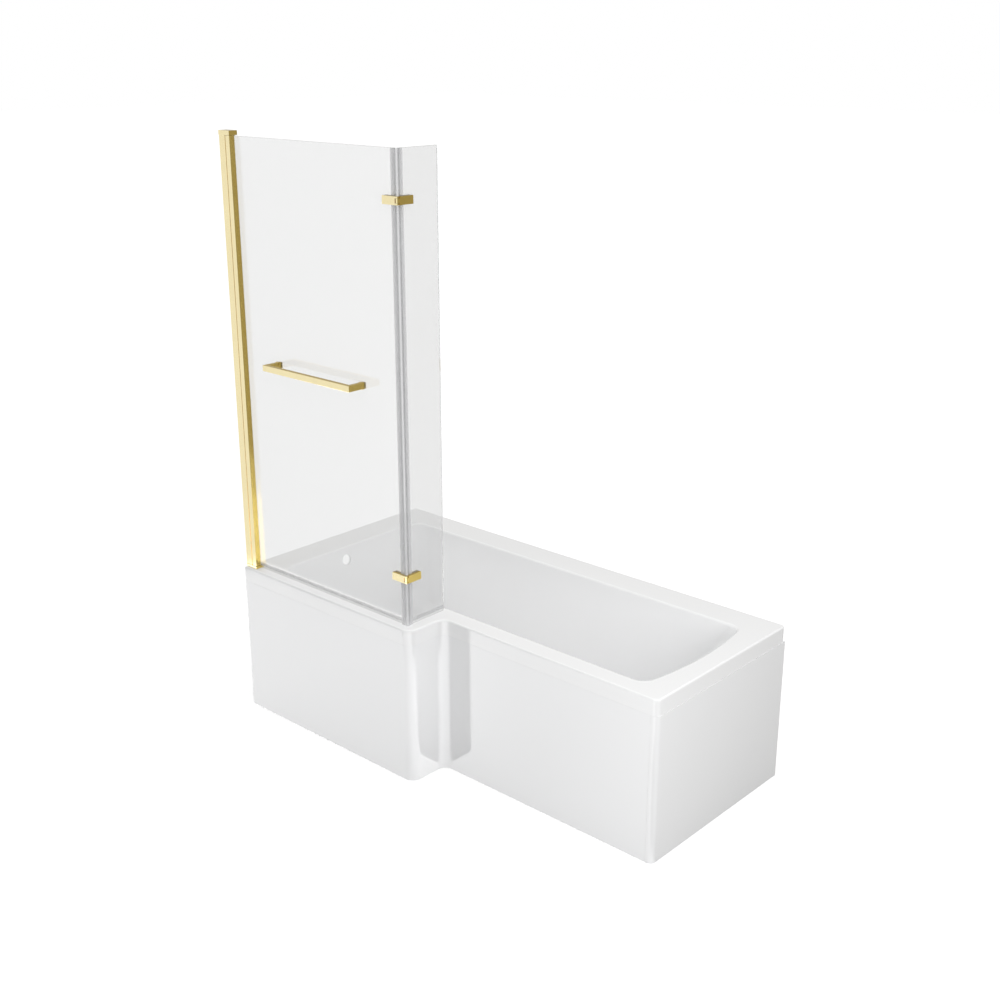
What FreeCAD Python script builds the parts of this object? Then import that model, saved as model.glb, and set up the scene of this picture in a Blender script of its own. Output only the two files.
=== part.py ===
import FreeCAD, Part
import os
import Sketcher
from types import SimpleNamespace

# Driving sizes in mm. The bath stands with its wall end at the left and its back against a wall.
SIZES = {
    # Outer form of the bath
    "bath_length": 1700.0,
    "wide_width": 850.0,
    "narrow_width": 700.0,
    "step_from_wall": 842.0,
    "rim_height": 545.0,
    "lip_height": 54.0,
    "shell_sheet": 6.0,
    "step_radius": 35.0,
    "outline_radius": 18.0,
    "rim_edge_radius": 6.0,
    # Basin, measured on the rim and on the floor
    "rim_back": 112.0,
    "rim_wall_end": 122.0,
    "rim_front": 69.0,
    "rim_wide_front": 78.0,
    "rim_step": 74.0,
    "rim_backrest": 97.0,
    "bow_slope": 0.18,
    "basin_floor": 165.0,
    "wall_end_lean": 60.0,
    "side_lean": 55.0,
    "backrest_lean": 250.0,
    "rim_corner_radius": 50.0,
    "backrest_corner_radius": 46.0,
    "floor_corner_radius": 82.0,
    "bay_corner_radius": 34.0,
    "floor_radius": 60.0,
    "basin_edge_radius": 8.0,
    "overflow_drop": 48.0,
    "overflow_from_back": 481.0,
    "overflow_radius": 20.0,
    "waste_from_wall": 310.0,
    "waste_from_back": 440.0,
    "waste_radius": 26.0,
    # Panels
    "panel_sheet": 5.0,
    "panel_gap": 0.4,
    "panel_rib": 16.0,
    "panel_setback": 0.2,
    "end_panel_proud": 2.0,
    "tongue_height": 24.0,
    "tongue_thickness": 4.0,
    "tongue_slack": 0.8,
    "tongue_inset": 30.0,
    "panel_butt": 0.4,
    "panel_edge_radius": 3.0,
    "corner_flat": 6.0,
    # Timber under the shell
    "batten_thickness": 20.0,
    "batten_height": 30.0,
    "board_thickness": 18.0,
    "board_start": 400.0,
    "board_length": 930.0,
    "board_width": 280.0,
    # Legs
    "cradle_width": 40.0,
    "cradle_height": 20.0,
    "cradle_sheet": 2.5,
    "cradle_length": 480.0,
    "cradle_inset": 90.0,
    "leg_inset": 25.0,
    "leg_radius": 5.0,
    "leg_slack": 0.1,
    "leg_hole_radius": 5.6,
    "board_hole_radius": 8.0,
    "leg_head_room": 9.0,
    "leg_plate_side": 70.0,
    "leg_plate_sheet": 4.0,
    "nut_width": 9.8,
    "nut_height": 8.0,
    "foot_radius": 25.0,
    "foot_height": 14.0,
    "foot_sole": 4.0,
    "wood_screw_radius": 2.0,
    "wood_screw_head": 4.0,
    "wood_screw_head_height": 2.0,
    "wood_screw_length": 15.0,
    "screw_spread": 100.0,
    "plate_screw_spread": 24.0,
    # Wall brackets
    "bracket_width": 40.0,
    "bracket_sheet": 3.0,
    "bracket_drop": 58.0,
    "bracket_hook": 20.0,
    "bracket_slack": 0.3,
    "bracket_hole_radius": 3.25,
    "back_bracket_first": 420.0,
    "back_bracket_second": 1280.0,
    "end_bracket_from_back": 300.0,
    # Wall profile of the screen
    "profile_width": 53.0,
    "profile_depth": 30.0,
    "profile_setback": 10.0,
    "channel_width": 30.0,
    "channel_sheet": 2.0,
    "channel_gap": 0.3,
    "profile_over_glass": 2.0,
    "channel_hole_radius": 2.75,
    "channel_hole_inset": 110.0,
    "channel_hole_pitch": 420.0,
    "cap_height": 14.5,
    "foot_cap_height": 9.0,
    "cap_overhang": 1.5,
    "cap_spigot": 12.0,
    "pivot_inset": 3.2,
    "pivot_radius": 2.0,
    "pivot_length": 30.0,
    "pivot_bite": 7.0,
    "washer_radius": 3.0,
    "washer_height": 1.0,
    "running_slack": 0.05,
    # Glass
    "glass_sheet": 6.0,
    "glass_setback": 30.0,
    "glass_top": 2034.0,
    "glass_lift": 11.5,
    "glass_grip": 13.0,
    "glazing_skin": 0.5,
    "back_leg_cut": 8.0,
    "return_setback": 39.0,
    "return_reach": 166.0,
    "edge_gap": 11.5,
    # Seals
    "seal_sheet": 1.5,
    "seal_grip": 10.0,
    "edge_grip": 11.0,
    "blade_sheet": 2.4,
    "rim_clearance": 0.8,
    "bulb_radius": 6.5,
    "seal_gap": 0.4,
    "seal_start_gap": 1.2,
    # Corner hinges
    "leaf_length": 60.0,
    "leaf_height": 25.0,
    "leaf_sheet": 10.0,
    "hinge_from_top": 147.0,
    "hinge_from_rim": 164.0,
    "tongue_share": 13.0,
    "hinge_gap": 0.5,
    "hinge_pin_radius": 2.0,
    "pad_sheet": 1.0,
    "clamp_sheet": 4.0,
    "clamp_start": 22.0,
    "hinge_screw_radius": 2.5,
    "hinge_screw_head": 4.5,
    "hinge_screw_head_height": 2.0,
    "hinge_screw_bite": 6.0,
    "hinge_screw_first": 32.0,
    "hinge_screw_second": 48.0,
    "drill_slack": 0.4,
    "glass_hole_radius": 5.0,
    # Towel rail
    "rail_start": 213.0,
    "rail_length": 421.0,
    "rail_height": 1309.5,
    "rail_bar": 15.0,
    "rail_face": 20.0,
    "rail_reach": 64.0,
    "rail_edge_radius": 1.0,
    "collar_side": 17.0,
    "collar_face": 22.0,
    "collar_length": 10.0,
    "inner_cap_side": 16.0,
    "inner_cap_face": 20.0,
    "inner_cap_height": 4.0,
    "rail_screw_bite": 12.0,
}

doc = FreeCAD.newDocument("shower_bath")
sheet = doc.addObject("Spreadsheet::Sheet", "sizes")
for row, (name, value) in enumerate(SIZES.items(), start=1):
    sheet.set(f"A{row}", str(value))
    sheet.setAlias(f"A{row}", name)
doc.recompute()


class Size:
    """A length in mm together with the sheet expression that gives it."""

    def __init__(self, value, text):
        self.value = value
        self.text = text

    def join(self, other, sign, value):
        return Size(value, f"({self.text} {sign} {other.text})")

    def __add__(self, other):
        other = as_size(other)
        return self.join(other, "+", self.value + other.value)

    def __radd__(self, other):
        return as_size(other) + self

    def __sub__(self, other):
        other = as_size(other)
        return self.join(other, "-", self.value - other.value)

    def __rsub__(self, other):
        return as_size(other) - self

    def __mul__(self, other):
        other = as_size(other)
        return self.join(other, "*", self.value * other.value)

    def __rmul__(self, other):
        return as_size(other) * self

    def __truediv__(self, other):
        other = as_size(other)
        return self.join(other, "/", self.value / other.value)

    def __neg__(self):
        return Size(-self.value, f"(0 - {self.text})")


def as_size(thing):
    """Give a plain number as a Size."""
    if isinstance(thing, Size):
        return thing
    return Size(float(thing), f"({float(thing)})")


def root(size):
    """Square root of a Size."""
    return Size(size.value ** 0.5, f"sqrt({size.text})")


def smaller(first, second):
    """The smaller of two Sizes."""
    return Size(min(first.value, second.value), f"min({first.text}; {second.text})")


s = SimpleNamespace(**{name: Size(value, f"sizes.{name}") for name, value in SIZES.items()})
ZERO = as_size(0)

# The wall corner of the bath on the floor; all pieces are placed from it, x to the right, y to the back
overall_depth = s.wide_width - s.glass_setback + s.rail_reach
corner_x = -(s.bath_length + s.end_panel_proud) / 2
corner_y = overall_depth / 2

ALONG_X = FreeCAD.Rotation(FreeCAD.Vector(0, 1, 0), 90)
ALONG_Y = FreeCAD.Rotation(FreeCAD.Vector(1, 0, 0), -90)
nodes = []


def bind(obj, prop, size):
    """Tie a property to the sheet."""
    obj.setExpression(prop, as_size(size).text)


def place(obj, x, y, z, rotation=None):
    """Put a piece at a point measured from the wall corner."""
    if rotation is not None:
        obj.Placement = FreeCAD.Placement(FreeCAD.Vector(), rotation)
    bind(obj, "Placement.Base.x", corner_x + x)
    bind(obj, "Placement.Base.y", corner_y + y)
    bind(obj, "Placement.Base.z", z)


def keep(obj):
    """Count an object among the finished pieces."""
    nodes.append(obj)
    return obj


def named(kind, label):
    """Add an object of a kind under its label."""
    obj = doc.addObject(kind, label)
    obj.Label = label
    return obj


def box(label, x, y, z, length, depth, height):
    """A box from its low corner."""
    obj = named("Part::Box", label)
    bind(obj, "Length", length)
    bind(obj, "Width", depth)
    bind(obj, "Height", height)
    place(obj, x, y, z)
    return obj


def cylinder(label, x, y, z, radius, height, rotation=None):
    """A cylinder from the centre of its base, upright unless turned."""
    obj = named("Part::Cylinder", label)
    bind(obj, "Radius", radius)
    bind(obj, "Height", height)
    place(obj, x, y, z, rotation)
    return obj


def group(label, pieces):
    """Several separate solids as one object."""
    obj = named("Part::Compound", label)
    obj.Links = pieces
    return obj


def cut(label, base, tools):
    """A piece with tools taken away from it."""
    obj = named("Part::Cut", label)
    obj.Base = base
    obj.Tool = tools[0] if len(tools) == 1 else group(label + "_tools", tools)
    return obj


def fuse(label, pieces):
    """Touching pieces made into one."""
    obj = named("Part::MultiFuse", label)
    obj.Shapes = pieces
    obj.Refine = True
    return obj


def body_at(label, x=ZERO, y=ZERO, z=ZERO):
    """An empty body with its own frame."""
    body = named("PartDesign::Body", label)
    place(body, x, y, z)
    return body


def tie(sketch, constraint, size):
    """Add a constraint whose value comes from the sheet."""
    index = sketch.addConstraint(constraint)
    bind(sketch, f"Constraints[{index}]", size)


def outline(body, name, corners, plane="XY_Plane", lift=ZERO):
    """A closed sketch through corners (x, y) or (x, y, radius), lifted off a plane of the body."""
    sketch = body.newObject("Sketcher::SketchObject", name)
    support = [feature for feature in body.Origin.OriginFeatures if feature.Role == plane][0]
    sketch.AttachmentSupport = [(support, "")]
    sketch.MapMode = "FlatFace"
    bind(sketch, "AttachmentOffset.Base.z", lift)
    corners = [tuple(as_size(part) for part in corner) for corner in corners]
    points = [FreeCAD.Vector(corner[0].value, corner[1].value, 0) for corner in corners]
    starts, ends, turns = [], [], []
    for index, corner in enumerate(corners):
        before = (points[index - 1] - points[index]).normalize()
        after = (points[(index + 1) % len(points)] - points[index]).normalize()
        if len(corner) == 2:
            ends.append(points[index])
            starts.append(points[index])
            turns.append(None)
            continue
        half_sine = (before - after).Length / 2
        half_cosine = (before + after).Length / 2
        reach = corner[2].value * half_cosine / half_sine
        middle = points[index] + (before + after).normalize() * (corner[2].value / half_sine)
        inner = points[index] - middle
        ends.append(points[index] + before * reach)
        starts.append(points[index] + after * reach)
        nearest = middle + inner.normalize() * corner[2].value
        turns.append(Part.Arc(ends[index], nearest, starts[index]))
    count = len(corners)
    lines = []
    for index in range(count):
        segment = Part.LineSegment(starts[index], ends[(index + 1) % count])
        lines.append(sketch.addGeometry(segment, False))
    for index, corner in enumerate(corners):
        into, away = lines[index - 1], lines[index]
        if turns[index] is None:
            sketch.addConstraint(Sketcher.Constraint("Coincident", into, 2, away, 1))
            tie(sketch, Sketcher.Constraint("DistanceX", -1, 1, away, 1, corner[0].value), corner[0])
            tie(sketch, Sketcher.Constraint("DistanceY", -1, 1, away, 1, corner[1].value), corner[1])
            continue
        arc = sketch.addGeometry(turns[index], False)
        point = sketch.addGeometry(Part.Point(points[index]), True)
        tie(sketch, Sketcher.Constraint("DistanceX", -1, 1, point, 1, corner[0].value), corner[0])
        tie(sketch, Sketcher.Constraint("DistanceY", -1, 1, point, 1, corner[1].value), corner[1])
        sketch.addConstraint(Sketcher.Constraint("PointOnObject", point, 1, into))
        sketch.addConstraint(Sketcher.Constraint("PointOnObject", point, 1, away))
        head, tail = (1, 2) if near(sketch, arc, 1, ends[index]) else (2, 1)
        sketch.addConstraint(Sketcher.Constraint("Tangent", into, 2, arc, head))
        sketch.addConstraint(Sketcher.Constraint("Tangent", away, 1, arc, tail))
        tie(sketch, Sketcher.Constraint("Radius", arc, corner[2].value), corner[2])
    return sketch


def near(sketch, arc, end, point):
    """True when that end of an arc of the sketch is at the point."""
    return (sketch.getPoint(arc, end) - point).Length < 0.001


def pad(body, sketch, length, reverse=False):
    """Thicken a sketch."""
    feature = body.newObject("PartDesign::Pad", "pad")
    feature.Profile = sketch
    feature.Reversed = reverse
    bind(feature, "Length", length)
    return feature


def pocket(body, sketch, depth, reverse=False):
    """Sink a sketch into the body."""
    feature = body.newObject("PartDesign::Pocket", "pocket")
    feature.Profile = sketch
    feature.Reversed = reverse
    bind(feature, "Length", depth)
    return feature


def loft(body, kind, sketches):
    """Add or take away the straight-sided form between two sketches."""
    feature = body.newObject(f"PartDesign::{kind}Loft", "loft")
    feature.Profile = sketches[0]
    feature.Sections = [(sketch, "") for sketch in sketches[1:]]
    feature.Ruled = True
    return feature


def edges_on(shape, test):
    """Numbers of the edges whose points all pass a test of x, y, z."""
    numbers = []
    for number, edge in enumerate(shape.Edges, start=1):
        first, last = edge.ParameterRange
        spots = [edge.valueAt(first + (last - first) * share) for share in (0.0, 0.5, 1.0)]
        if all(test(spot.x, spot.y, spot.z) for spot in spots):
            numbers.append(number)
    return numbers


def round_edges(body, radius, test):
    """Round the edges of the body that pass a test in its own frame."""
    doc.recompute()
    feature = body.Tip
    rounding = body.newObject("PartDesign::Fillet", "rounding")
    rounding.Base = (feature, [f"Edge{number}" for number in edges_on(feature.Shape, test)])
    bind(rounding, "Radius", radius)
    doc.recompute()
    return rounding


def same(first, second):
    """True when two lengths agree."""
    return abs(first - second) < 0.01


# Levels and lines of the bath
lip_bottom = s.rim_height - s.lip_height
rim_under = s.rim_height - s.shell_sheet
floor_under = s.basin_floor - s.shell_sheet
board_bottom = floor_under - s.board_thickness
basin_depth = s.rim_height - s.basin_floor

# Corner radii keep within the walls that they join
step_turn = smaller(s.step_radius, 0.45 * (s.wide_width - s.narrow_width))
bay_depth = s.wide_width - s.rim_wide_front - (s.narrow_width - s.rim_front)
bay_turn = smaller(s.bay_corner_radius, 0.26 * bay_depth)
bay_limit = 0.65 * bay_depth
floor_turn = smaller(s.floor_radius, 0.75 * smaller(s.floor_corner_radius, bay_limit))


def l_plan(inset):
    """Outline of the bath seen from above, moved inward by an inset."""
    outer = step_turn - inset
    inner = step_turn + inset
    small = s.outline_radius
    wide = -(s.wide_width - inset)
    narrow = -(s.narrow_width - inset)
    left = inset
    right = s.bath_length - inset
    step = s.step_from_wall - inset
    return [(left, -inset), (right, -inset, small), (right, narrow, small),
            (step, narrow, inner), (step, wide, outer), (left, wide)]


def basin_plan(grow, share, corner_radius, end_radius):
    """Outline of the basin: grown by a sheet, leaned in by a share of the full lean."""
    stretch = root(1 + s.bow_slope * s.bow_slope)
    back = -s.rim_back - s.side_lean * share + grow
    front = -(s.narrow_width - s.rim_front) + s.side_lean * share - grow
    wide = -(s.wide_width - s.rim_wide_front) + s.side_lean * share - grow
    left = s.rim_wall_end + s.wall_end_lean * share - grow
    step = s.step_from_wall - s.rim_step - s.side_lean * share + grow
    right = s.bath_length - s.rim_backrest - s.backrest_lean * share + grow * (stretch - s.bow_slope)
    half = (back - front) / 2
    middle = (back + front) / 2
    peak = right + s.bow_slope * half
    bow_radius = 0.95 * (half * stretch - end_radius * (stretch - s.bow_slope)) / s.bow_slope
    return [(left, back, corner_radius), (right, back, end_radius), (peak, middle, bow_radius),
            (right, front, end_radius), (step, front, bay_turn),
            (step, wide, smaller(corner_radius, bay_limit)), (left, wide, corner_radius)]


# Bath shell: a hollow rim tray with the tub hung in it
def on_basin_rim(point_x, point_y, z):
    """True for points of the rim's top on the edge of the basin."""
    x = point_x - corner_x.value
    y = point_y - corner_y.value
    front = s.wide_width.value - s.rim_wide_front.value / 2
    if x > s.step_from_wall.value - s.rim_step.value / 2:
        front = s.narrow_width.value - s.rim_front.value / 2
    return same(z, s.rim_height.value) and x > s.rim_wall_end.value / 2 and -front < y < -s.rim_back.value / 2


skin = s.shell_sheet
form = body_at("shell_form")
pad(form, outline(form, "rim_outline", l_plan(ZERO), lift=lip_bottom), s.lip_height)
round_edges(form, s.rim_edge_radius, lambda x, y, z: same(z, s.rim_height.value))
rim_hollow = outline(form, "rim_hollow", l_plan(skin), lift=lip_bottom)
pocket(form, rim_hollow, s.lip_height - skin, reverse=True)
tub_top = outline(form, "tub_top",
                  basin_plan(skin, 0, s.rim_corner_radius + skin, s.backrest_corner_radius + skin),
                  lift=s.rim_height - skin / 2)
tub_corner = s.floor_corner_radius + skin
tub_base = outline(form, "tub_base", basin_plan(skin, 1, tub_corner, tub_corner), lift=floor_under)
loft(form, "Additive", [tub_top, tub_base])
round_edges(form, floor_turn + skin, lambda x, y, z: same(z, floor_under.value))
basin = body_at("basin_form")
basin_top = outline(basin, "basin_top", basin_plan(ZERO, 0, s.rim_corner_radius, s.backrest_corner_radius),
                    lift=s.rim_height)
basin_base = outline(basin, "basin_base", basin_plan(ZERO, 1, s.floor_corner_radius, s.floor_corner_radius),
                     lift=s.basin_floor)
loft(basin, "Additive", [basin_top, basin_base])
round_edges(basin, floor_turn, lambda x, y, z: same(z, s.basin_floor.value))
hollow_shell = cut("hollow_shell", form, [basin])
doc.recompute()
soft_shell = named("Part::Fillet", "soft_shell")
soft_shell.Base = hollow_shell
edge_radius = s.basin_edge_radius.value
rim_edges = edges_on(hollow_shell.Shape, on_basin_rim)
soft_shell.Edges = [(number, edge_radius, edge_radius) for number in rim_edges]

# Overflow hole square to the leaning wall, waste hole straight down
lean_run = root(basin_depth * basin_depth + s.wall_end_lean * s.wall_end_lean)
drill_reach = skin * 3
overflow_x = s.rim_wall_end + s.wall_end_lean * s.overflow_drop / basin_depth
overflow_z = s.rim_height - s.overflow_drop
into_basin = FreeCAD.Vector(basin_depth.value, 0, s.wall_end_lean.value)
overflow_drill = cylinder("overflow_drill", overflow_x - drill_reach * basin_depth / lean_run,
                          -s.overflow_from_back, overflow_z - drill_reach * s.wall_end_lean / lean_run,
                          s.overflow_radius, 2 * drill_reach,
                          FreeCAD.Rotation(FreeCAD.Vector(0, 0, 1), into_basin))
waste_drill = cylinder("waste_drill", s.waste_from_wall, -s.waste_from_back, floor_under - skin,
                       s.waste_radius, 3 * skin)
keep(cut("bath_shell", soft_shell, [overflow_drill, waste_drill]))

# Panels: each stands on the floor and its tongue goes up behind the lip
panel_top = lip_bottom - s.panel_gap
tongue_top = lip_bottom + s.tongue_height
tongue_front = skin + s.tongue_slack
tongue_back = tongue_front + s.tongue_thickness
end_outer = s.bath_length + s.end_panel_proud
end_panel_x = end_outer - s.panel_sheet
turned_x = end_outer - s.outline_radius - s.corner_flat
front_end_x = turned_x - s.panel_butt


def rectangle(x0, y0, x1, y1):
    """Corners of an upright rectangle."""
    return [(x0, y0), (x1, y0), (x1, y1), (x0, y1)]


def panel_run(body, name, x0, x1, width):
    """Rib and tongue of a front panel along one straight run."""
    rib = outline(body, name + "_rib", rectangle(x0, -width + s.panel_setback, x1, -width + tongue_back),
                  lift=panel_top - s.panel_rib)
    pad(body, rib, s.panel_rib)
    tongue = outline(body, name + "_tongue", rectangle(x0, -width + tongue_front, x1, -width + tongue_back),
                     lift=panel_top)
    pad(body, tongue, tongue_top - panel_top)


def strip_plan(inset):
    """Path of the front panel seen from above at an inset from the bath's outline, left to right."""
    return [(ZERO, -s.wide_width + inset),
            (s.step_from_wall - inset, -s.wide_width + inset, step_turn - inset),
            (s.step_from_wall - inset, -s.narrow_width + inset, step_turn + inset),
            (front_end_x, -s.narrow_width + inset)]


front_panel = keep(body_at("front_panel"))
strip = strip_plan(s.panel_setback) + strip_plan(s.panel_setback + s.panel_sheet)[::-1]
pad(front_panel, outline(front_panel, "strip", strip), panel_top)
wide_stop = s.step_from_wall - step_turn - s.tongue_inset
narrow_start = s.step_from_wall + step_turn + s.tongue_inset
panel_run(front_panel, "wide", s.tongue_inset, wide_stop, s.wide_width)
panel_run(front_panel, "narrow", narrow_start, front_end_x - s.tongue_inset, s.narrow_width)

# The end panel's sheet turns round the outer corner and butts against the front panel
end_panel = keep(body_at("end_panel"))
end_front = -s.narrow_width + s.panel_setback
end_back = end_front + s.panel_sheet
inner_turn = s.outline_radius - s.panel_sheet
pad(end_panel, outline(end_panel, "sheet", [
    (end_outer, ZERO), (end_outer, end_front, s.outline_radius), (turned_x, end_front), (turned_x, end_back),
    (end_panel_x, end_back, inner_turn), (end_panel_x, ZERO)]), panel_top)
round_edges(end_panel, s.panel_edge_radius, lambda x, y, z: same(x, end_outer.value) and same(y, 0))
rib_run = (-s.narrow_width + s.tongue_inset, -s.tongue_inset)
rib_x = s.bath_length - tongue_back
end_rib = outline(end_panel, "rib", rectangle(rib_x, rib_run[0], end_panel_x, rib_run[1]),
                  lift=panel_top - s.panel_rib)
pad(end_panel, end_rib, s.panel_rib)
end_tongue = outline(end_panel, "tongue",
                     rectangle(rib_x, rib_run[0], s.bath_length - tongue_front, rib_run[1]), lift=panel_top)
pad(end_panel, end_tongue, tongue_top - panel_top)

# Battens bonded under the rim; each keeps a panel tongue against the lip
batten_z = rim_under - s.batten_height
batten_inset = tongue_back + s.tongue_slack
keep(box("rim_batten_wide_front", s.tongue_inset, -s.wide_width + batten_inset, batten_z,
         wide_stop - s.tongue_inset, s.batten_thickness, s.batten_height))
keep(box("rim_batten_front", narrow_start, -s.narrow_width + batten_inset, batten_z,
         s.bath_length - 2 * s.tongue_inset - narrow_start, s.batten_thickness, s.batten_height))
keep(box("rim_batten_end", s.bath_length - batten_inset - s.batten_thickness,
         -s.narrow_width + 2 * s.tongue_inset, batten_z,
         s.batten_thickness, s.narrow_width - 4 * s.tongue_inset, s.batten_height))

# Baseboard under the floor, leg cradles under the baseboard
basin_middle = -(s.rim_back + s.narrow_width - s.rim_front) / 2
board_end = s.board_start + s.board_length
leg_top = floor_under - s.leg_head_room
centre_x = s.board_start + s.board_length / 2
screw_depth = s.wood_screw_length + s.running_slack
screws, nuts, board_drills = [], [], []


def wood_screw(name, x, y, seat):
    """A screw driven up into the baseboard through sheet metal whose underside is the seat."""
    head = cylinder(name + "_head", x, y, seat - s.wood_screw_head_height,
                    s.wood_screw_head, s.wood_screw_head_height)
    shank = cylinder(name + "_shank", x, y, seat, s.wood_screw_radius, s.wood_screw_length)
    screws.append(fuse(name, [head, shank]))
    hole = s.wood_screw_radius + s.running_slack
    board_drills.append(cylinder(name + "_board_drill", x, y, seat, hole, screw_depth))
    return cylinder(name + "_sheet_drill", x, y, seat - skin, hole, 2 * skin)


def leg(name, x, y, seat):
    """A levelling leg under a seat: rod, foot and nut. Gives the drill for its hole."""
    keep(cylinder(name + "_rod", x, y, s.foot_sole, s.leg_radius, leg_top - s.foot_sole))
    foot = keep(body_at(name + "_foot", x, y, ZERO))
    socket = s.leg_radius + s.running_slack
    profile = outline(foot, "profile", [(ZERO, ZERO), (s.foot_radius, ZERO), (s.foot_radius, s.foot_sole),
                                        (2 * s.leg_radius, s.foot_height), (socket, s.foot_height),
                                        (socket, s.foot_sole), (ZERO, s.foot_sole)], plane="XZ_Plane")
    turn = foot.newObject("PartDesign::Revolution", "turn")
    turn.Profile = profile
    turn.ReferenceAxis = (profile, ["V_Axis"])
    prism = named("Part::Prism", name + "_nut_blank")
    prism.Polygon = 6
    bind(prism, "Circumradius", s.nut_width)
    bind(prism, "Height", s.nut_height)
    place(prism, x, y, seat - s.nut_height)
    thread = cylinder(name + "_thread", x, y, seat - 2 * s.nut_height,
                      s.leg_radius + s.leg_slack, 3 * s.nut_height)
    nuts.append(cut(name + "_nut", prism, [thread]))
    return cylinder(name + "_drill", x, y, seat - skin, s.leg_hole_radius, 2 * skin)


def cradle(label, name, x):
    """A steel channel across the baseboard with a leg at each end."""
    seat = board_bottom - s.cradle_sheet
    blank = box(label + "_blank", x - s.cradle_width / 2, basin_middle - s.cradle_length / 2,
                board_bottom - s.cradle_height, s.cradle_width, s.cradle_length, s.cradle_height)
    inside = box(label + "_inside", x - s.cradle_width / 2 + s.cradle_sheet, basin_middle - s.cradle_length,
                 board_bottom - 2 * s.cradle_height, s.cradle_width - 2 * s.cradle_sheet,
                 2 * s.cradle_length, 2 * s.cradle_height - s.cradle_sheet)
    reach = s.cradle_length / 2 - s.leg_inset
    drills = [inside]
    for side, sign in (("back", 1), ("front", -1)):
        drills.append(leg(f"{name}_{side}_leg", x, basin_middle + sign * reach, seat))
        drills.append(wood_screw(f"{name}_{side}_screw", x, basin_middle + sign * s.screw_spread, seat))
    keep(cut(label, blank, drills))


cradle("wall_end_cradle", "wall_end", s.board_start + s.cradle_inset)
cradle("backrest_cradle", "backrest", board_end - s.cradle_inset)

plate_seat = board_bottom - s.leg_plate_sheet
plate = box("plate_blank", centre_x - s.leg_plate_side / 2, basin_middle - s.leg_plate_side / 2, plate_seat,
            s.leg_plate_side, s.leg_plate_side, s.leg_plate_sheet)
plate_drills = [leg("centre_leg", centre_x, basin_middle, plate_seat)]
for side, sign in (("left", -1), ("right", 1)):
    plate_drills.append(wood_screw(f"plate_{side}_screw", centre_x + sign * s.plate_screw_spread,
                                   basin_middle, plate_seat))
keep(cut("centre_leg_plate", plate, plate_drills))
keep(group("leg_fixing_screws", screws))
keep(group("leg_nuts", nuts))

board = box("board_blank", s.board_start, basin_middle - s.board_width / 2, board_bottom,
            s.board_length, s.board_width, s.board_thickness)
board_drills.append(cylinder("board_leg_drill", centre_x, basin_middle, board_bottom - skin,
                             s.board_hole_radius, s.board_thickness + 2 * skin))
keep(cut("baseboard", board, board_drills))


# Wall brackets hook the lip from below
def wall_bracket(label, x, y, rotation):
    """A bracket against a wall behind it, its left end at the given point."""
    ledge = -s.bracket_slack
    hook = -skin - s.bracket_slack
    back = hook - s.bracket_sheet
    drop = -s.bracket_drop
    body = named("PartDesign::Body", label + "_form")
    place(body, x, y, lip_bottom, rotation)
    under = ledge - s.bracket_sheet
    section = outline(body, "section", [
        (ZERO, drop), (-s.bracket_sheet, drop), (-s.bracket_sheet, under), (back, under),
        (back, s.bracket_hook), (hook, s.bracket_hook), (hook, ledge), (ZERO, ledge)], plane="YZ_Plane")
    pad(body, section, s.bracket_width)
    return body


bracket_hole_z = lip_bottom - s.bracket_drop / 2
for label, x in (("back_bracket_left", s.back_bracket_first), ("back_bracket_right", s.back_bracket_second)):
    hole = cylinder(label + "_drill", x, -2 * s.bracket_sheet, bracket_hole_z,
                    s.bracket_hole_radius, 3 * s.bracket_sheet, ALONG_Y)
    keep(cut(label, wall_bracket(label, x - s.bracket_width / 2, ZERO, FreeCAD.Rotation()), [hole]))
end_bracket_y = -s.end_bracket_from_back
hole = cylinder("end_bracket_drill", -s.bracket_sheet, end_bracket_y, bracket_hole_z,
                s.bracket_hole_radius, 3 * s.bracket_sheet, ALONG_X)
quarter_turn = FreeCAD.Rotation(FreeCAD.Vector(0, 0, 1), 90)
end_bracket_form = wall_bracket("end_bracket", ZERO, end_bracket_y - s.bracket_width / 2, quarter_turn)
keep(cut("end_bracket", end_bracket_form, [hole]))

# Wall profile: a fixed channel and a post that turns on pins near the front seam
profile_front = -s.wide_width + s.profile_setback
profile_back = profile_front + s.profile_depth
profile_bottom = s.rim_height + s.foot_cap_height
profile_top = s.glass_top + s.profile_over_glass
post_x = s.channel_width + s.channel_gap
pivot_x = post_x + s.pivot_inset
pivot_y = profile_front + s.pivot_inset
wall = s.channel_sheet

channel = body_at("channel_form")
channel_section = outline(channel, "section", [
    (ZERO, profile_front), (s.channel_width, profile_front), (s.channel_width, profile_front + wall),
    (wall, profile_front + wall), (wall, profile_back - wall), (s.channel_width, profile_back - wall),
    (s.channel_width, profile_back), (ZERO, profile_back)], lift=profile_bottom)
pad(channel, channel_section, profile_top - profile_bottom)
channel_drills = []
for number in range(4):
    channel_drills.append(cylinder(f"channel_drill_{number}", -wall, (profile_front + profile_back) / 2,
                                   profile_bottom + s.channel_hole_inset + number * s.channel_hole_pitch,
                                   s.channel_hole_radius, 3 * wall, ALONG_X))
keep(cut("wall_channel", channel, channel_drills))


def cap(label, z, height, spigot_z, pin_z):
    """A cover over an end of the profile with a spigot in the channel and a hole for a pivot pin."""
    cover = box(label + "_cover", ZERO, profile_front - s.cap_overhang, z, s.profile_width + s.cap_overhang,
                s.profile_depth + 2 * s.cap_overhang, height)
    spigot = box(label + "_spigot", wall + s.running_slack, profile_front + wall + s.running_slack, spigot_z,
                 s.channel_width - 2 * wall, s.profile_depth - 2 * (wall + s.running_slack), s.cap_spigot)
    hole = cylinder(label + "_drill", pivot_x, pivot_y, pin_z, s.pivot_radius + s.running_slack, s.pivot_bite)
    keep(cut(label, fuse(label + "_blank", [cover, spigot]), [hole]))


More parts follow.
